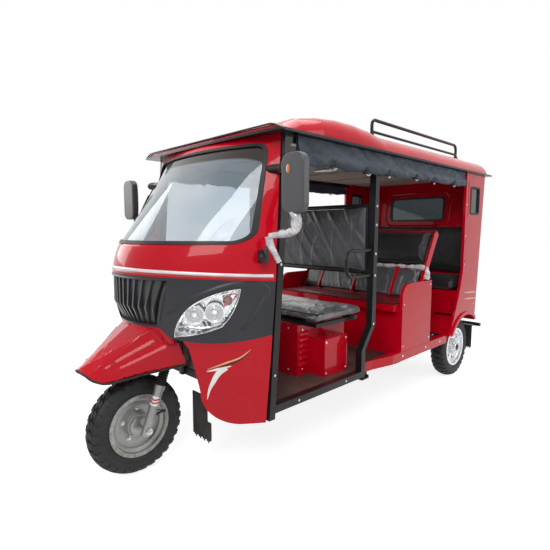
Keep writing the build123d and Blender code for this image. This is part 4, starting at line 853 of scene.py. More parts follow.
# ---- mirrors
GLASS_AT = (786, 424, 1497)
GLASS_HALF = (58, 122)
GLASS_RINGS = ((0, 0), (0.03, 0.0012), (0.6, 0.0022), (0.97, 0.0026))      # share of the way in, lift
DOT = [(0, 0.0155), (0.0016, 0.0150), (0.0030, 0.011), (0.0034, 0.003)]
BALL = [(-0.022, 0.004), (-0.019, 0.013), (-0.010, 0.021), (0.002, 0.024), (0.013, 0.020), (0.020, 0.012),
        (0.023, 0.004)]


def squircle(angle, half, powers=(0.4, 0.4)):
    """Point of a rounded rectangle round the origin."""
    return [copysign(abs(turn) ** power, turn) * size
            for turn, power, size in zip((cos(angle), sin(angle)), powers, half)]


for side, tag in SIDES:
    centre, spot, boss, knob = line(side, [GLASS_AT, (764, 378, 1560), (594, 384, 1172), (606, 366, 1160)])
    face = [P(side * GLASS_AT[0] + dx, GLASS_AT[1], GLASS_AT[2] + dz)
            for dx, dz in (squircle(a, GLASS_HALF, (0.45, 0.6)) for a in around(48))]
    piece("mirror_glass_" + tag, [rings([[p + (centre - p) * share + BACK * lift for p in face]
                                         for share, lift in GLASS_RINGS])], mirror_glass)
    rim_ring = [p + AHEAD * 0.001 for p in face]
    piece("mirror_rim_" + tag, [tube(rim_ring + rim_ring[:2], 0.0028, 6)], mirror_shell)
    if side > 0:
        points, faces = lathe(DOT, spot, AHEAD, 24, True)
        oval = [spot + Vector(((p - spot).x * 0.72, (p - spot).y, (p - spot).z * 1.35)) for p in points]
        piece("mirror_reflector", [(oval, faces)], amber)
    screws = [(boss + Vector((side * 0.012, -0.022, dz)), Vector((side, -0.4, 0)), 0.005)
              for dz in (0.020, -0.026)]
    piece("mirror_mount_" + tag, [block(boss + Vector((0, 0, -0.006)), (0.030, 0.052, 0.064), 0.008),
                                  lathe(BALL, knob, Vector((side, -0.5, 0)), 24, True)] + bolts(screws),
          black)


def crumpled_tube(path, radius, sides, seed, amount=0.35):
    """Tube of clear wrapping."""
    rows, faces = tube(path, radius, sides)
    points = []
    for i, p in enumerate(rows):
        axis = path[min(i // sides, len(path) - 1)]
        n = noise.noise(p * 38 + Vector((seed, 0, 0))) + 0.5 * noise.noise(p * 95 + Vector((0, seed, 0)))
        points.append(axis + (p - axis) * (1 + amount * n))
    return points, faces


# clear bubble wrapping left round the left mirror's stalk, and the black stay of the right one
STALK_WRAP = [(784, 402, 1370), (794, 402, 1318), (774, 400, 1284), (708, 390, 1271), (650, 376, 1264)]
WRAP_TAIL = [(640, 374, 1262), (647, 385, 1216), (658, 400, 1179), (668, 420, 1141)]
RIGHT_STAY = [(600, 382, 1176), (628, 372, 1230), (700, 405, 1290), (742, 404, 1372)]
piece("stalk_wrap_left",
      [crumpled_tube(smooth_path(line(1, STALK_WRAP), 9), lambda t: 0.025 - 0.011 * t, 22, 1.0),
       crumpled_tube(smooth_path(line(1, WRAP_TAIL), 8), lambda t: 0.018 - 0.006 * t, 20, 4.0)], bubble,
      smooth=60)
stay = [p + Vector((0, -0.012, 0.006)) for p in smooth_path(line(-1, RIGHT_STAY), 6)]
piece("mirror_stay_right", [tube(stay, 0.004, 8)], black)

# ---- side lamps
SIDE_LAMP = (490, 1590)       # y, z
LAMP_RING = [(-0.004, 0.0205), (-0.003, 0.0235), (0.003, 0.0235), (0.004, 0.0205)]
LAMP_END = [(0, 0.0185), (0.0035, 0.017), (0.006, 0.010), (0.0065, 0.002)]
piece("side_lamp_rings", [lathe(LAMP_RING, P(side * (612 + 22 * k), *SIDE_LAMP), outboard(side), 24)
                          for side in (1, -1) for k in range(3)], dash_plastic)
piece("side_lamp_lenses", [lathe(LAMP_END, P(side * 671.5, *SIDE_LAMP), outboard(side), 24, True)
                           for side in (1, -1)], amber)

# ---- tyres and wheels
GROOVE = 0.013
LUG_COUNT = 30
PITCH = 2 * pi / LUG_COUNT


def tyre_parts(width, centre, flip):
    """Carcass with side ribs, and five staggered rows of tread blocks."""
    h = width / 2
    crown = h - 0.008
    half = [(h - 0.012, 0.1526), (h - 0.012, 0.167), (h - 0.006, 0.176), (h - 0.002, 0.188),
            (h - 0.0022, 0.191),
            (h, 0.193), (h, 0.199), (h - 0.0012, 0.2015), (h - 0.0008, 0.214), (h - 0.0024, 0.2175),
            (h - 0.002, 0.2225), (h - 0.004, 0.228), (h - 0.010, 0.2405), (h - 0.020, 0.2480),
            (h * 0.35, TYRE_RADIUS - GROOVE - 0.001)]
    profile = half + [(0, TYRE_RADIUS - GROOVE)] + [(-x, r) for x, r in reversed(half)]
    out = [lathe(profile, centre, Vector((1, 0, 0)), 88)]

    def top(x):
        return TYRE_RADIUS - 0.0003 - 0.0147 * min(1.0, (x / crown) ** 2)

    def lug(rows_x, start, span, skew):
        """Block over rows of x that starts at an angle and spans one; skew turns it with x."""
        rows = []
        for x in rows_x:
            a0 = start + skew * (x - rows_x[0])
            a1 = start + span + skew * (x - rows_x[0])
            up, down = top(x), top(x) - 0.014
            rows.append([centre + spoke(flip * x, a, r) for a, r in
                         ((a0 - 0.006, down), (a0, up), ((a0 + a1) / 2, up), (a1, up), (a1 + 0.006, down))])
        return rings(rows)

    def shoulder(side, start, span=PITCH * 0.52):
        """Block that runs over the shoulder and down the side: x, drop of its top, depth."""
        rows = []
        for x, drop, depth in ((0.0395, 0.0, 0.014), (0.0475, 0.0, 0.016), (h - 0.0055, 0.003, 0.016),
                               (h - 0.0008, 0.014, 0.010), (h - 0.0006, 0.030, 0.003)):
            up = top(min(x, crown)) - drop
            down = up - depth
            foot_x = x - (0.006 if drop > 0.01 else 0)
            rows.append([centre + spoke(flip * side * (x if r == up else foot_x), a, r) for a, r in
                         ((start - 0.005, down), (start, up), (start + span / 2, up), (start + span, up),
                          (start + span + 0.005, down))])
        return rings(rows)

    for i in range(LUG_COUNT):
        a = i * PITCH
        out.append(lug((-0.012, 0.0, 0.012), a, PITCH * 0.62, 5.0))
        for s, inner, outer in ((1, 0.25, 0.55), (-1, 0.75, 0.05)):
            out.append(lug((s * 0.0165, s * 0.026, s * 0.0355), a + PITCH * inner, PITCH * 0.56, s * 2.5))
            out.append(shoulder(s, a + PITCH * outer))
    return out


def front_hub(centre):
    """Drum faces with cooling fins on both sides of the front wheel."""
    parts = []
    for s, reach in ((1, 0.050), (-1, 0.062)):
        drum = [(reach - 0.022, 0.0585), (reach - 0.020, 0.064), (reach - 0.014, 0.064),
                (reach - 0.012, 0.058),
                (reach + 0.001, 0.052), (reach + 0.003, 0.046), (reach + 0.003, 0.020),
                (reach - 0.006, 0.017)]
        parts.append(lathe(drum, centre, outboard(s), 40))
        parts += [block(centre + spoke(s * (reach - 0.006), a, 0.0555), (0.012, 0.004, 0.008), 0.0008,
                        Matrix.Rotation(a, 3, "X")) for a in around(10)]
    return parts


HUB_CAP = [(0.056, 0.030), (0.064, 0.029), (0.069, 0.024), (0.070, 0.019)]
RIM_BEAD = [(0.052, 0.1490), (0.056, 0.1515), (0.0575, 0.1570), (0.0565, 0.1655), (0.0535, 0.1675)]
VALVE = [(0, 0.0045), (0.022, 0.0045), (0.023, 0.003), (0.032, 0.003)]
VALVE_TURN = 0.9
NUT_TURN = 0.3
WHEELS = [
    ("front", "front_tyre", 0, 0, 0.112, 1, "front_wheel"),
    ("rear_left", "rear_tyre_left", WHEEL_X, WHEELBASE, 0.118, 1, "rear_left_wheel"),
    ("rear_right", "rear_tyre_right", -WHEEL_X, WHEELBASE, 0.118, -1, "rear_right_wheel"),
]
for tag, node, x, y, width, flip, body in WHEELS:
    centre = P(x, y, 262)
    out = outboard(flip)
    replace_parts(piece("tread_" + tag, tyre_parts(width, centre, flip), tyre, body=body, smooth=28), node)
    valve = lathe(VALVE, centre + spoke(flip * 0.030, VALVE_TURN, 0.122), spoke(flip * 0.9, VALVE_TURN, -0.4),
                  10, True)
    turns = [a + NUT_TURN for a in around(5)]
    if tag == "front":
        nuts = [part for a in turns for s, x in ((1, 0.0135), (-1, 0.003))
                for part in bolt(centre + spoke(s * x, a, 0.083), outboard(s), 0.0095, 0.010)]
        piece("hub_drum_front", [valve] + front_hub(centre), silver, body=body)
    else:
        nuts = [part for a in turns for part in bolt(centre + spoke(flip * 0.0575, a, 0.044), out, 0.0088,
                                                     0.012)]
        piece("hub_cap_" + tag, [valve, lathe(HUB_CAP, centre, out, 32), lathe(RIM_BEAD, centre, out, 72)],
              bright_wheel, body=body)
    piece("wheel_nuts_" + tag, nuts, bolt_steel, body=body)

# ---- front fork dressing
LEG_X = 118
GAITER = [ring for k in range(9) for ring in ((0.236 + 0.0115 * k, 0.0225), (0.2415 + 0.0115 * k, 0.0290))]
GAITER.append((0.3385, 0.0225))
# material, lower and upper edge along the leg and slope of the chevron in mm, radius
BADGES = ((stripe_white, 128, 176, 0, 0.0245), (stripe_red, 136, 144, 12, 0.0249),
          (stripe_red, 152, 160, 12, 0.0249))
BADGE_FOOT = 0.0238
fork_up = Vector((0, sin(RAKE), cos(RAKE)))


def on_leg(side, distance, angle=0.0, radius=0.0):
    """Point on a fork leg: distance up it, angle round it from straight outboard, radius from its middle."""
    base = P(side * LEG_X, distance * sin(RAKE), 262 + distance * cos(RAKE))
    fore = Vector((0, -cos(RAKE), sin(RAKE)))
    return base + outboard(side) * (radius * cos(angle)) + fore * (radius * sin(angle))


def badge(side, low, high, slope, radius):
    """Patch round the front of a leg, bent upwards at its sides."""
    rows = []
    for j in range(15):
        angle = radians(-28 + 11 * j)
        bend = slope * abs(j - 7) / 7
        rows.append([on_leg(side, end + bend, angle, r)
                     for end, r in ((high, radius), (low, radius), (low, BADGE_FOOT), (high, BADGE_FOOT))])
    return rings(rows)


piece("fork_gaiters", [lathe(GAITER, on_leg(side, 0), fork_up, 28) for side in (1, -1)], flap,
      body="steering")
piece("fork_nuts", [part for side in (1, -1) for x, r, high in ((0.030, 0.013, 0.010), (0.040, 0.009, 0.008))
                    for part in bolt(on_leg(side, 0) + outboard(side) * x, outboard(side), r, high)],
      bolt_steel, body="steering")
for name, look, slot in (("red", stripe_red, "red_lens"), ("white", stripe_white, "fork_silver")):
    piece("fork_chevrons_" + name, [badge(side, *sizes) for side in (1, -1) for paint, *sizes in BADGES
                                    if paint == look], look, slot, "steering")
piece("brake_link", [tube(smooth_path(line(1, [(92, 30, 292), (96, 70, 318), (96, 116, 326)]), 4), 0.006, 8),
                     tube(line(1, [(98, 116, 326), (98, 60, 350), (100, 44, 392)]), 0.0035, 8)]
      + bolt(P(99, 116, 326), Vector((1, 0, 0)), 0.007, 0.006), chassis, body="steering")

# ---- handlebar: grips, levers, switch boxes and dials
GRIP_RIB = [(-0.0035, 0.0168), (-0.0025, 0.0188), (0.0025, 0.0188), (0.0035, 0.0168)]
DIAL_RADIUS = 0.034
pod_turn = Matrix.Rotation(radians(-30), 3, "X")
pod_at = P(0, 317.6, 1123.4)
levers, ribs, bezels, dial_faces, marks = [], [], [], [], []
for side in (1, -1):
    a, b = line(side, [(335, 440, 1080), (210, 402, 1088)])
    inboard = (b - a).normalized()
    ribs += [lathe(GRIP_RIB, a + inboard * (0.008 + 0.0095 * k), inboard, 18) for k in range(11)]
    root = a + inboard * 0.135
    ahead = Vector((0, -0.03, 0.004))
    lever = [root + ahead, a + inboard * 0.09 + ahead * 1.5, a + inboard * 0.01 + ahead * 1.4]
    levers += [block(root, (0.042, 0.030, 0.034), 0.006, Matrix.Rotation(-side * 0.3, 3, "Z")),
               tube(smooth_path(lever, 5), 0.0048, 8)]
for x in (-0.045, 0.045):
    at = pod_at + pod_turn @ Vector((x, 0.004, 0.028))
    r = DIAL_RADIUS
    bezels.append(lathe([(-0.002, r + 0.004), (0.005, r + 0.004), (0.006, r), (0.001, r - 0.001)], at,
                        pod_turn @ UP, 36))
    dial_faces.append(lathe([(0.0006, r), (0.0012, 0.001)], at, pod_turn @ UP, 36, True))
    marks += [block(at + pod_turn @ Vector((cos(a) * r * 0.8, sin(a) * r * 0.8, 0.0016)),
                    (0.006, 0.0012, 0.0006), 0,
                    pod_turn @ Matrix.Rotation(a, 3, "Z")) for a in (radians(-30 + 30 * k) for k in range(9))]
    marks.append(block(at + pod_turn @ Vector((-0.008, 0.006, 0.0022)), (0.028, 0.0016, 0.0006), 0,
                       pod_turn @ Matrix.Rotation(2.4, 3, "Z")))
for name, parts, look in (("grip_ribs", ribs, flap), ("hand_levers", levers, black),
                          ("dial_bezels", bezels, chrome),
                          ("dial_faces", dial_faces, dial), ("dial_marks", marks, dash_plastic)):
    piece(name, parts, look, body="steering")

# ---- side curtains
CURTAIN_FRONT, CURTAIN_REAR = 602, 2638
CURTAIN_TOP = 1760
TIES = [640, 880, 1195, 1440, 1790, 2060, 2395, 2610]
TIE_HALVES = (0.008, 0.013, 0.006, 0.011, 0.007, 0.012)      # half widths of the ties between the end ones


def gather(y):
    """How far the curtain's lower edge hangs at a station, in metres below the gutter."""
    nearest = min(abs(y - t) for t in TIES)
    sag = min(1.0, nearest / 150)
    lead = max(0.0, 1 - (y - CURTAIN_FRONT) / 1400)
    wander = noise.noise(Vector((y * 0.006, 3.1, 0))) + 0.4 * noise.noise(Vector((y * 0.023, 8.3, 0)))
    return 0.113 + 0.022 * lead + 0.010 * sin(sag * pi / 2) + 0.011 * wander


def fold(y, t, side):
    """Share of the cloth's folds at a station and height; they run down and back from the gutter."""
    slant = Vector((y * 0.0068 + t * 2.0, t * 0.5, side * 5.0))
    ridge = 1 - 2.2 * abs(noise.noise(slant))
    fine = 1 - 2.2 * abs(noise.noise(Vector((y * 0.017 - t * 2.2, t * 1.9, side * 9.0))))
    return ridge, fine


def curtain(side, columns=240, turns=18):
    """Sheet that runs down behind the gutter, turns at its lower edge and comes up again in folds."""
    rows = []
    for i in range(columns + 1):
        y = CURTAIN_FRONT + (CURTAIN_REAR - CURTAIN_FRONT) * i / columns
        deep = gather(y)
        nearest = min(abs(y - t) for t in TIES)
        loose = 0.70 + 0.30 * min(1.0, nearest / 60)
        column = [P(side * x, y, CURTAIN_TOP - 1000 * deep * share)
                  for x, share in ((600.5, 0.0), (600.5, 0.35), (600.4, 0.7), (601.5, 0.92))]
        for k in range(1, turns + 1):
            t = k / turns
            belly = 0.5 - 0.5 * cos(pi * min(1.0, t * 3.2))
            down = deep * (1.0 - max(0.0, (t - 0.14) / 0.86)) if t > 0.14 else deep * (0.92 + 0.08 * t / 0.14)
            ridge, fine = fold(y, t, side)
            roll = exp(-((t - 0.38) / 0.22) ** 2)
            folds = belly * (16 * ridge + 5 * fine) * (0.90 - 0.45 * t)
            depth = 600.8 + belly * (8 + 17 * roll) * loose + folds
            column.append(P(side * min(max(depth, 601.2), 643), y, CURTAIN_TOP - 1000 * down))
        rows.append(column)
    return rings(rows, closed=False, caps=False)


def tie(side, y, half):
    """Strap round the gathered cloth at a station, and the tape's loose end."""
    deep = gather(y) * 1000
    ring = [P(side * x, y, z) for x, z in ((603, 1758 - 0.6 * deep), (602, 1762 - deep - 4),
                                           (612, 1756 - deep - 6),
                                           (628, 1763 - deep), (634, 1775 - deep), (630, 1790 - deep))]
    section = ((-half, 0), (half, 0), (half, 0.0015), (-half, 0.0015))
    strap = rings([[p + Vector((side * dx, dy, 0)) for dy, dx in section] for p in smooth_path(ring, 4)])
    low = P(side * 616, y + 10, 1758 - deep - 8)
    tail = half * 3.2
    end = [low, low + Vector((0, tail * 0.3, -0.007)), low + Vector((0, tail * 0.7, -0.004)),
           low + Vector((0, tail, 0.003))]
    return strap, tube(smooth_path(end, 4), 0.003, 6)


for side, tag in SIDES:
    cloth = piece("curtain_cloth_" + tag, [curtain(side)], tarpaulin, smooth=70)
    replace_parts(cloth, "curtain_" + tag)
    straps, ends = zip(*(tie(side, y, half) for y, half in zip(TIES[1:-1], TIE_HALVES)))
    piece("curtain_ties_" + tag, straps, flap, "tarpaulin")
    piece("curtain_tapes_" + tag, ends, stripe_white, "tarpaulin")


# ---- cushions
SHRINK = 0.007                # how far inside the solid the cloth starts, in metres
VOXEL = 0.011
ROOM = Vector((0.012, 0.006, 0.012))      # how far past the solid's box a cushion may reach
CLOTH_STEPS = 20


def applied(obj):
    """Gives the object its mesh with the modifiers, and no modifiers."""
    mesh = bpy.data.meshes.new_from_object(obj.evaluated_get(bpy.context.evaluated_depsgraph_get()))
    obj.modifiers.clear()
    obj.data = mesh


def blown_up(obj):
    """Runs the cloth with air inside it."""
    cloth = obj.modifiers.new("cloth", "CLOTH")
    cloth.settings.quality = 4
    cloth.settings.use_pressure = True
    cloth.settings.uniform_pressure_force = 4
    cloth.settings.effector_weights.gravity = 0
    cloth.point_cache.frame_start = 1
    cloth.point_cache.frame_end = CLOTH_STEPS
    for step in range(1, CLOTH_STEPS + 1):
        bpy.context.scene.frame_set(step)
    applied(obj)
    bpy.context.scene.frame_set(1)


def cushion(name, node, look, fill, cap, shape, grow):
    """Pad from a CAD solid: remeshed, blown up with cloth, smoothed, creased and fitted to its box."""
    lo, hi = (Vector(v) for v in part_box(node))
    mesh = NODES[node].data.copy()
    bm = bmesh.new()
    bm.from_mesh(mesh)
    bmesh.ops.remove_doubles(bm, verts=bm.verts, dist=1e-5)
    centre = (lo + hi) / 2
    for v in bm.verts:
        v.co = Vector(centre[i] + (v.co[i] - centre[i]) * (1 - 2 * SHRINK / (hi[i] - lo[i]))
                      for i in range(3))
    bm.to_mesh(mesh)
    bm.free()
    obj = shown(name, mesh)
    remesh = obj.modifiers.new("remesh", "REMESH")
    remesh.mode = "VOXEL"
    remesh.voxel_size = VOXEL
    applied(obj)
    start = [v.co.copy() for v in obj.data.vertices]
    blown_up(obj)
    for v, old in zip(obj.data.vertices, start):
        move = v.co - old
        if move.length > cap:
            v.co = old + move * (cap / move.length)
    obj.modifiers.new("smooth", "SUBSURF").levels = 1
    applied(obj)
    limit_lo, limit_hi = lo - Vector((*ROOM[:2], grow[2])), hi + ROOM
    got_lo = [min(v.co[i] for v in obj.data.vertices) for i in range(3)]
    got_hi = [max(v.co[i] for v in obj.data.vertices) for i in range(3)]
    for v in obj.data.vertices:
        v.co = shape(Vector(lo[i] - grow[i] + (v.co[i] - got_lo[i]) / (got_hi[i] - got_lo[i])
                            * (hi[i] - lo[i] + 2 * grow[i]) for i in range(3)), lo, hi)
        v.co = Vector(min(max(v.co[i], limit_lo[i]), limit_hi[i]) for i in range(3))
    mesh = obj.data
    mesh.materials.clear()
    mesh.materials.append(look)
    mesh.shade_smooth()
    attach(obj, "body")
    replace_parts(obj, node)


def creases(amount, scale, slant):
    """Wrinkles that run along a slanted direction."""
    def shape(p, lo, hi):
        q = Vector((p.x * scale[0] + p.z * slant, p.y * scale[1], p.z * scale[2]))
        ridge = max(0.0, 1 - 5 * abs(noise.noise(q)))
        fine = max(0.0, 1 - 4 * abs(noise.noise(q * 2.7 + Vector((7, 0, 0)))))
        lift = amount * (ridge ** 2 + 0.4 * fine ** 2)
        thin = min(range(3), key=lambda i: (hi - lo)[i])
        out = Vector((0, 0, 0))
        out[thin] = 1 if p[thin] > ((lo + hi) / 2)[thin] else -1
        return p + out * lift
    return shape


# name, node, look, fill, how far the cloth may move, creases, growth past the solid's box
CUSHIONS = [
    ("driver_cushion", "driver_seat", wrapped_vinyl, 0.75, 0.022, creases(0.0045, (7, 9, 9), 0),
     (0.008, 0.002, 0)),
    ("driver_back_pad", "driver_backrest", back_vinyl, 0.7, 0.022, creases(0.0050, (5.0, 2, 1.2), 3.4),
     (0.012, 0.002, 0.012)),
    ("middle_cushion", "middle_seat", red_vinyl, 0.8, 0.018, creases(0.0010, (5, 9, 9), 0),
     (0.002, 0.002, 0)),
    ("middle_low_pad", "middle_backrest_low", back_vinyl, 0.5, 0.008, creases(0.0030, (6, 2, 1.5), 2.0),
     (0.002, 0.001, 0.001)),
    ("middle_high_pad", "middle_backrest_high", seat_vinyl, 0.8, 0.022, creases(0.0012, (5, 2, 3), 1.0),
     (0.002, 0.002, 0.002)),
    ("rear_cushion", "rear_seat", seat_vinyl, 0.85, 0.022, creases(0.0012, (5, 7, 7), 0), (0.002, 0.002, 0)),
    ("rear_back_pad", "rear_backrest", seat_vinyl, 0.8, 0.022, creases(0.0012, (5, 2, 3), 1.0),
     (0.002, 0.002, 0.002)),
]
for row in CUSHIONS:
    cushion(*row)


def piping(x, y, z):
    """Cord round a cushion's front edge; x is half its width."""
    half = [(x, y + 60, z), (x - 6, y + 10, z), (x - 26, y, z)]
    return tube(smooth_path(line(-1, half) + [P(0, y - 2, z)] + line(1, half[::-1]), 6), 0.0038, 8)


piece("seat_piping", [piping(506, 887, 796), piping(541, 1669, 772), piping(561, 2561, 872)], flap,
      "seat_vinyl")

# ---- middle backrest: wrapped elbows and top band
RECLINE_FOOT, RECLINE_TOP = (1962, 772), (2236, 1262)      # y, z
STRIP_XS = (-360, 0, 360)
SIDE_PLATE = ((0.16, 14), (0.16, -26), (1.015, -30), (1.03, 6), (0.98, 30), (0.55, 26), (0.42, 20))


def recline(share, forward):
    """Point (y, z) of the backrest, a share of the way up it and forward of its middle."""
    (y0, z0), (y1, z1) = RECLINE_FOOT, RECLINE_TOP
    length = hypot(y1 - y0, z1 - z0)
    ny, nz = -(z1 - z0) / length, (y1 - y0) / length
    return y0 + share * (y1 - y0) + forward * ny, z0 + share * (z1 - z0) + forward * nz


ry, rz = recline(0.475, -8)
ELBOW = [(470, ry, rz), (540, ry, rz), (574, ry - 8, rz - 8), (588, ry - 22, rz - 40),
         (590, ry - 34, rz - 84)]
elbows = [crumpled_tube(smooth_path(line(side, ELBOW), 8), lambda t: 0.020 + 0.003 * sin(9 * t), 20,
                        2.0 + side)
          for side in (1, -1)]
rail = smooth_path([P(x, ry, rz) for x in (140, 260, 380, 480)], 10)
elbows.append(crumpled_tube(rail, lambda t: 0.0165 + 0.003 * sin(23 * t), 18, 6.0, 0.3))
piece("rail_wrap", elbows, bubble, smooth=60)
(y0, z0), (y1, z1) = recline(0.0, 37), recline(0.44, 37)
strip_turn = Matrix.Rotation(-atan2(y1 - y0, z1 - z0), 3, "X")
piece("backrest_strips", [block((P(x, y0, z0) + P(x, y1, z1)) / 2,
                                (0.026, 0.012, hypot(y1 - y0, z1 - z0) / 1000),
                                0.003, strip_turn) for x in STRIP_XS], red)
(y0, z0), (y1, z1) = recline(-0.03, -4), recline(0.06, -4)
piece("backrest_foot_sheet", [slab([(1925, 746), (y0 + 20, 746), (y1 + 12, z1 + 20), (y1, z1 + 20)],
                                   (-560, 560))],
      red_vinyl, smooth=None)
piece("backrest_side_plates", [slab([recline(*spot) for spot in SIDE_PLATE], (side * 574, side * 578))
                               for side in (1, -1)], red, smooth=30)
top_y, top_z = recline(1.025, 4)
piece("backrest_top_band", [tube([P(-572, top_y, top_z), P(572, top_y, top_z)], 0.008, 12)], red)

# ---- louvre hoods and screws
BOX_SIDE, FRAME_FACE, SKIRT_FACE, BENCH_FACE, QUARTER_FACE = 375, 598, 604, 602, 622      # x of outer faces
HOOD = [(0, 22), (4, 20), (10, 10), (11, 2), (8.5, 2), (7, 9), (2, 16), (0, 17)]      # out from the box, up
HOOD_OPENING = ((884, 0.05), (891, 0.8), (925, 1.0), (959, 0.8), (966, 0.05))      # y, share of the way out
piece("louvre_hoods", [rings([[P(side * (BOX_SIDE + out * share), y, z + up) for out, up in HOOD]
                              for y, share in HOOD_OPENING]) for side in (1, -1)
                       for z in range(460, 651, 38)], red)
edge_bolts, frame_bolts = [], []
for side in (1, -1):
    out = outboard(side)
    edge_bolts += [(P(side * 500, y, z), out, 0.0055)
                   for y, z in ((990, 612), (1186, 612), (990, 420), (1186, 420))]
    edge_bolts += [(P(side * BOX_SIDE, 912, z), out, 0.005) for z in (437, 683)]
    edge_bolts += [(P(side * x, 865, z), AHEAD, 0.005) for x in (120, 300) for z in (430, 690)]
    b_post = [(1344 + (z - 680) * 16 / 1082, z, 0.006) for z in (690, 1002, 1140, 1322, 1440, 1680)]
    a_post = [(440 + (z - 330) * 112 / 1432, z, 0.005) for z in (560, 1120)]
    for x, spots in (
            (FRAME_FACE, b_post + a_post + [(640, 380, 0.005), (1060, 380, 0.005)]),
            (SKIRT_FACE, [(1720, 400, 0.006), (2060, 400, 0.006), (2300, 400, 0.006)]),
            (BENCH_FACE, [(1722, 470, 0.005), (1722, 770, 0.005), (2108, 470, 0.005), (2108, 880, 0.005)]),
            (QUARTER_FACE, [(2672, 1000, 0.005), (2672, 1240, 0.005), (2672, 1500, 0.005),
                            (2900, 640, 0.005)])):
        frame_bolts += [(P(side * x, y, z), out, radius) for y, z, radius in spots]
piece("seat_box_screws", bolts(edge_bolts), bolt_steel)
piece("frame_bolts", bolts(frame_bolts), bolt_steel)
STEP_BRACKETS = [((575, 1262, 346), (0.052, 0.070, 0.010)), ((575, 1296, 352), (0.052, 0.010, 0.024)),
                 ((560, 1700, 352), (0.040, 0.080, 0.008))]
piece("step_brackets", [block(*line(side, [at]), size, 0.002) for side in (1, -1)
                        for at, size in STEP_BRACKETS],
      black)

# ---- quarter panels
STRIPE_SPINES = (((2690, 757), (2800, 750), (2940, 740)), ((2690, 703), (2800, 695), (2940, 684)))      # y, z
# points, half widths, lift, columns
PRESSED_BEADS = [([(y, z) for y in (2668, 2800, 2960)], [0.007] * 3, 0.0025, 5) for z in (1190, 1030)]
PRESSED_BEADS.append(([(2700, 1400), (2700, 1690)], [0.004] * 2, 0.002, 4))
side_tree = surface("rear_side_left", "rear_side_right")


def on_quarter(side, points, *shape):
    return flag(side_tree, [P(side * 640, y, z) for y, z in points], shape[0], outboard(-side), *shape[1:])


for side, tag in SIDES:
    piece("quarter_stripes_" + tag, [on_quarter(side, points, [0.0008, 0.006, 0.004])
                                     for points in STRIPE_SPINES],
          stripe_gold)
    piece("quarter_beads_" + tag, [on_quarter(side, *bead) for bead in PRESSED_BEADS], red)

# ---- back wall
OUTSIDE, INSIDE = (3300, AHEAD), (2600, BACK)      # where rays onto the back wall start, and their heading
BEAD_HALF, BEAD_HIGH, BEAD_STEP = 8, 0.004, 60
WINDOW_BEAD = (330, 1332, 1648, 70)      # half width, lower and upper edge, corner radius
PANEL_BEAD = (380, 640, 1240, 60)
back_tree = surface("rear_panel")
lean = Matrix.Rotation(radians(-4.1), 3, "X")


def back_y(z):
    """Station of the back wall's outer face at a height."""
    return 2937 + (z - 408) * 97 / 1354


def back_loop(half, z0, z1, corner, start_y, direction):
    """Pressed ring on the back wall, seen from outside or inside."""
    outline = []
    for cx, cz, a0 in ((half - corner, z1 - corner, 0), (-half + corner, z1 - corner, 90),
                       (-half + corner, z0 + corner, 180), (half - corner, z0 + corner, 270)):
        for k in range(7):
            a = radians(a0 + 15 * k)
            outline.append((cx + corner * cos(a), cz + corner * sin(a), cos(a), sin(a)))
    dense = []
    for start, end in zip(outline, outline[1:] + outline[:1]):
        n = max(1, int(hypot(end[0] - start[0], end[1] - start[1]) / BEAD_STEP))
        dense += [[s + (e - s) * i / n for s, e in zip(start, end)] for i in range(n)]
    return laid(back_tree, [[(P(x + nx * w, start_y, z + nz * w), direction)
                             for w in (-BEAD_HALF, 0, BEAD_HALF)]
                            for x, z, nx, nz in dense + dense[:1]], (0.0004, BEAD_HIGH, 0.0004))


def on_back(x, z, out, size, bevel):
    """Block on the back wall, its middle a few millimetres out from it."""
    return block(P(x, back_y(z) + out, z), size, bevel, lean)


piece("back_wall_beads", [back_loop(*WINDOW_BEAD, *OUTSIDE), back_loop(*WINDOW_BEAD, *INSIDE),
                          back_loop(*PANEL_BEAD, *OUTSIDE)], red)

# tail lamps: chromed rim, amber top and white foot lens
LAMP_X, LAMP_Z, LAMP_HALF = 505, 720, (56, 106)
trims = []
for side in (1, -1):
    ring = [squircle(2 * pi * k / 40, LAMP_HALF) for k in range(41)]
    trims.append(tube([P(side * LAMP_X + x, back_y(LAMP_Z + z) + 20, LAMP_Z + z) for x, z in ring], 0.003, 8))
piece("tail_lamp_trim", trims, chrome)
for name, z, look in (("amber", 785, amber), ("white", 655, white_lens)):
    piece("tail_lamp_" + name, [on_back(side * LAMP_X, z, 26.5, (0.092, 0.006, 0.046), 0.002)
                                for side in (1, -1)],
          look)
piece("plate_blank", [on_back(0, 620, 5, (0.340, 0.003, 0.130), 0.001)], stripe_white)
plate_screws = [(P(x, back_y(620) + 7, 620 + dz), BACK, 0.005) for x in (-140, 140) for dz in (-40, 40)]
piece("plate_lamp", [on_back(0, 700, 14, (0.090, 0.026, 0.024), 0.006)] + bolts(plate_screws), dash_plastic)
piece("back_reflectors", [on_back(side * 300, 520, 3, (0.060, 0.005, 0.030), 0.002) for side in (1, -1)],
      red_lens)

# ---- flaps' cut edges and screws
# first x, count, top, longest tooth, step of its length and its cycle, plate's y
FRINGES = ((238, 13, 236, 222, 6, 7, (206, 211)), (438, 11, 207, 196, 5, 5, (3038, 3042)))
teeth = []
for side in (1, -1):
    for first, count, top, low, step, cycle, ys in FRINGES:
        for k in range(count):
            x, foot = side * (first + 12 * k), low - step * ((k * cycle) % 3)
            teeth.append(rings([[P(x - 4.5, y, top), P(x + 4.5, y, top), P(x + 2, y, foot), P(x - 2, y, foot)]
                                for y in ys]))
piece("flap_fringe", teeth, flap)
piece("flap_screws", bolts([(P(side * x, 3043.5, 385), BACK, 0.006) for side in (1, -1)
                            for x in (450, 500, 550)]),
      bolt_steel)

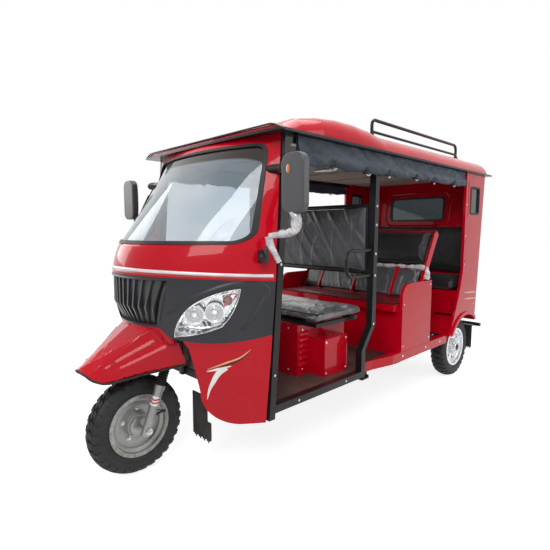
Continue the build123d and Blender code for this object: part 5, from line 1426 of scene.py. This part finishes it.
# ---- roof: visor edge, rack feet, battens, lamp
VISOR_Y = 452
VISOR_LOW, VISOR_HIGH = 1.772, 1.802      # heights between which the edge's line stays
roof_tree = surface("roof_shell")
edge_line = []
for k in range(41):
    x = -632 + 1264 * k / 40
    hit = roof_tree.ray_cast(P(x, 480, 2200), DOWN)[0]
    top_z = min(hit.z if hit else 1.776, VISOR_HIGH)
    edge_line.append(Vector((x / 1000, P(0, VISOR_Y, 0).y, max(top_z - 0.004, VISOR_LOW))))
VISOR_CORNER = [(650, 470, 1768), (648, VISOR_Y, 1769)]
edge_line = line(-1, VISOR_CORNER) + edge_line + line(1, VISOR_CORNER[::-1])
piece("visor_edge", [tube(edge_line, 0.0045, 8)], black)
RACK_FOOT = [(-0.002, 0.026), (0.003, 0.025), (0.005, 0.014), (0.016, 0.012)]
piece("rack_feet", [lathe(RACK_FOOT, *roof_tree.ray_cast(P(side * 450, y, 2300), DOWN)[:2], 20, True)
                    for side in (1, -1) for y in (1500, 2800)], black)
piece("lining_battens", [block(P(0, y, 1741), (1.09, 0.026, 0.006), 0.002)
                         for y in (900, 1330, 1780, 2230, 2640)],
      lining)
GUSSET = [(545, 1760), (640, 1760), (632, 1748), (560, 1708), (545, 1706)]
piece("corner_gussets", [slab(GUSSET, (side * 594, side * 597)) for side in (1, -1)], lining, smooth=None)
piece("cabin_lamp", [block(P(0, 1560, 1735), (0.150, 0.070, 0.014), 0.005)], white_lens)

# ---- dashboard dressing, pedal and engine ribs
DASH_VENT = [(0, 0.022), (0.010, 0.020), (0.012, 0.010)]
vents = [block(P(x, 150, 1178), (0.13, 0.05, 0.012), 0.004) for x in (-250, 250)]
vents += [lathe(DASH_VENT, P(x, 186, 1146), BACK, 20, True) for x in (-330, 330, -120, 120)]
piece("dash_vents", vents, dash_plastic)
PEDAL_ARM = [(150, 500, 470), (150, 520, 520), (150, 560, 560)]
piece("brake_pedal", [tube(smooth_path(line(1, PEDAL_ARM), 5), 0.007, 8),
                      block(P(150, 566, 566), (0.060, 0.012, 0.070), 0.004, Matrix.Rotation(0.6, 3, "X"))],
      black)


def parcel(turns=26, rises=15):
    """Wad of clear wrapping left on the dashboard behind the screen."""
    rows = []
    for i in range(rises):
        t = i / (rises - 1)
        x, y, z = 362 + 74 * t, 176 + 140 * t ** 0.8, 1173 + 178 * t
        r = 64 * sin(pi * (0.16 + 0.82 * t)) ** 0.7 * (1 - 0.25 * t)
        rows.append([P(x + r * 0.75 * cos(a), y + r * 0.42 * sin(a), z) for a in around(turns)])
    points, faces = rings(rows)
    out = []
    for i, p in enumerate(points):
        middle = sum(rows[i // turns], Vector()) / turns
        n = 0.42 * noise.noise(p * 30) + 0.22 * noise.noise(p * 75)
        q = middle + (p - middle) * (1 + n)
        screen = cowl_line.ray_cast(Vector((q.x, -2.2, max(q.z, 1.2))), BACK)[0]
        out.append(Vector((q.x, max(q.y, screen.y + 0.034), max(q.z, 1.1725))))
    return out, faces


piece("dash_wrapping", [parcel()], bubble, smooth=60)
piece("engine_ribs", [block(P(0, 885 + 38 * k, 640), (0.30, 0.010, 0.020), 0.002) for k in range(11)], cast)

# ---- stage, light and camera
REACH = 40
AMBIENT = 0.25                # the world's light on the part; the background itself shows white
FLOOR_GLOW = 0.80
ground = bpy.data.meshes.new("ground")
ground.from_pydata([(-REACH, -REACH, 0), (REACH, -REACH, 0), (REACH, REACH, 0), (-REACH, REACH, 0)], [],
                   [(0, 1, 2, 3)])
g = Finish("ground")
g.colour(g.two_tone(g.noise(0.8, 4), (0.56, 0.56, 0.56), (0.54, 0.54, 0.54), 0.3, 0.7))
g.put(Roughness=0.9)
ray = g.node("ShaderNodeLightPath").outputs
glow = g.node("ShaderNodeEmission", Color=(1, 1, 1, 1))
g.link(g.maths("MULTIPLY", g.maths("MAXIMUM", ray["Is Camera Ray"], ray["Is Glossy Ray"]), FLOOR_GLOW),
       glow.inputs["Strength"])
total = g.node("ShaderNodeAddShader")
g.link(g.bsdf.outputs[0], total.inputs[0])
g.link(glow.outputs[0], total.inputs[1])
g.link(total.outputs[0], g.tree.nodes["Material Output"].inputs["Surface"])
ground.materials.append(g.mat)
shown("ground", ground)

world = bpy.data.worlds.new("studio")
bpy.context.scene.world = world
world.use_nodes = True
studio = Nodes(world.node_tree)
backdrop = studio.tree.nodes["Background"].inputs
ray = studio.node("ShaderNodeLightPath").outputs
seen = studio.maths("MAXIMUM", studio.maths("MAXIMUM", ray["Is Camera Ray"], ray["Is Glossy Ray"]),
                    ray["Is Transmission Ray"])
studio.link(studio.band(seen, 0, 1, AMBIENT, 1.0), backdrop["Strength"])
backdrop["Color"].default_value = (1, 1, 1, 1)

LAMP_TARGET = Vector((0, 0, 0.9))
for name, at, size, watts in (("key", (3.4, -5.0, 5.0), 3.0, 225), ("fill", (-4.6, -2.6, 3.0), 3.0, 80),
                              ("side", (5.2, 2.4, 2.6), 3.0, 62), ("top", (0, 0.4, 5.6), 4.0, 130)):
    softbox = bpy.data.lights.new(name, "AREA")
    softbox.shape = "SQUARE"
    softbox.size = size
    softbox.energy = watts
    obj = shown(name, softbox)
    obj.location = at
    obj.rotation_euler = (LAMP_TARGET - Vector(at)).to_track_quat("-Z", "Y").to_euler()

# the photograph's camera, fitted to the wheels' rims
CAMERA_AT = (2.115, -2.4495, 1.293)
CAMERA_HEADING = Vector((-0.71189, 0.69450, -0.10437))
camera = bpy.data.cameras.new("camera")
camera.sensor_fit = "HORIZONTAL"
camera.sensor_width = 36
camera.lens = 28.32
camera_obj = shown("camera", camera)
forward = CAMERA_HEADING.normalized()
right = forward.cross(UP).normalized()
turn = Matrix((right, right.cross(forward).normalized(), -forward)).transposed().to_4x4()
camera_obj.matrix_world = Matrix.Translation(CAMERA_AT) @ turn
bpy.context.scene.camera = camera_obj
bpy.context.scene.view_settings.view_transform = "Standard"
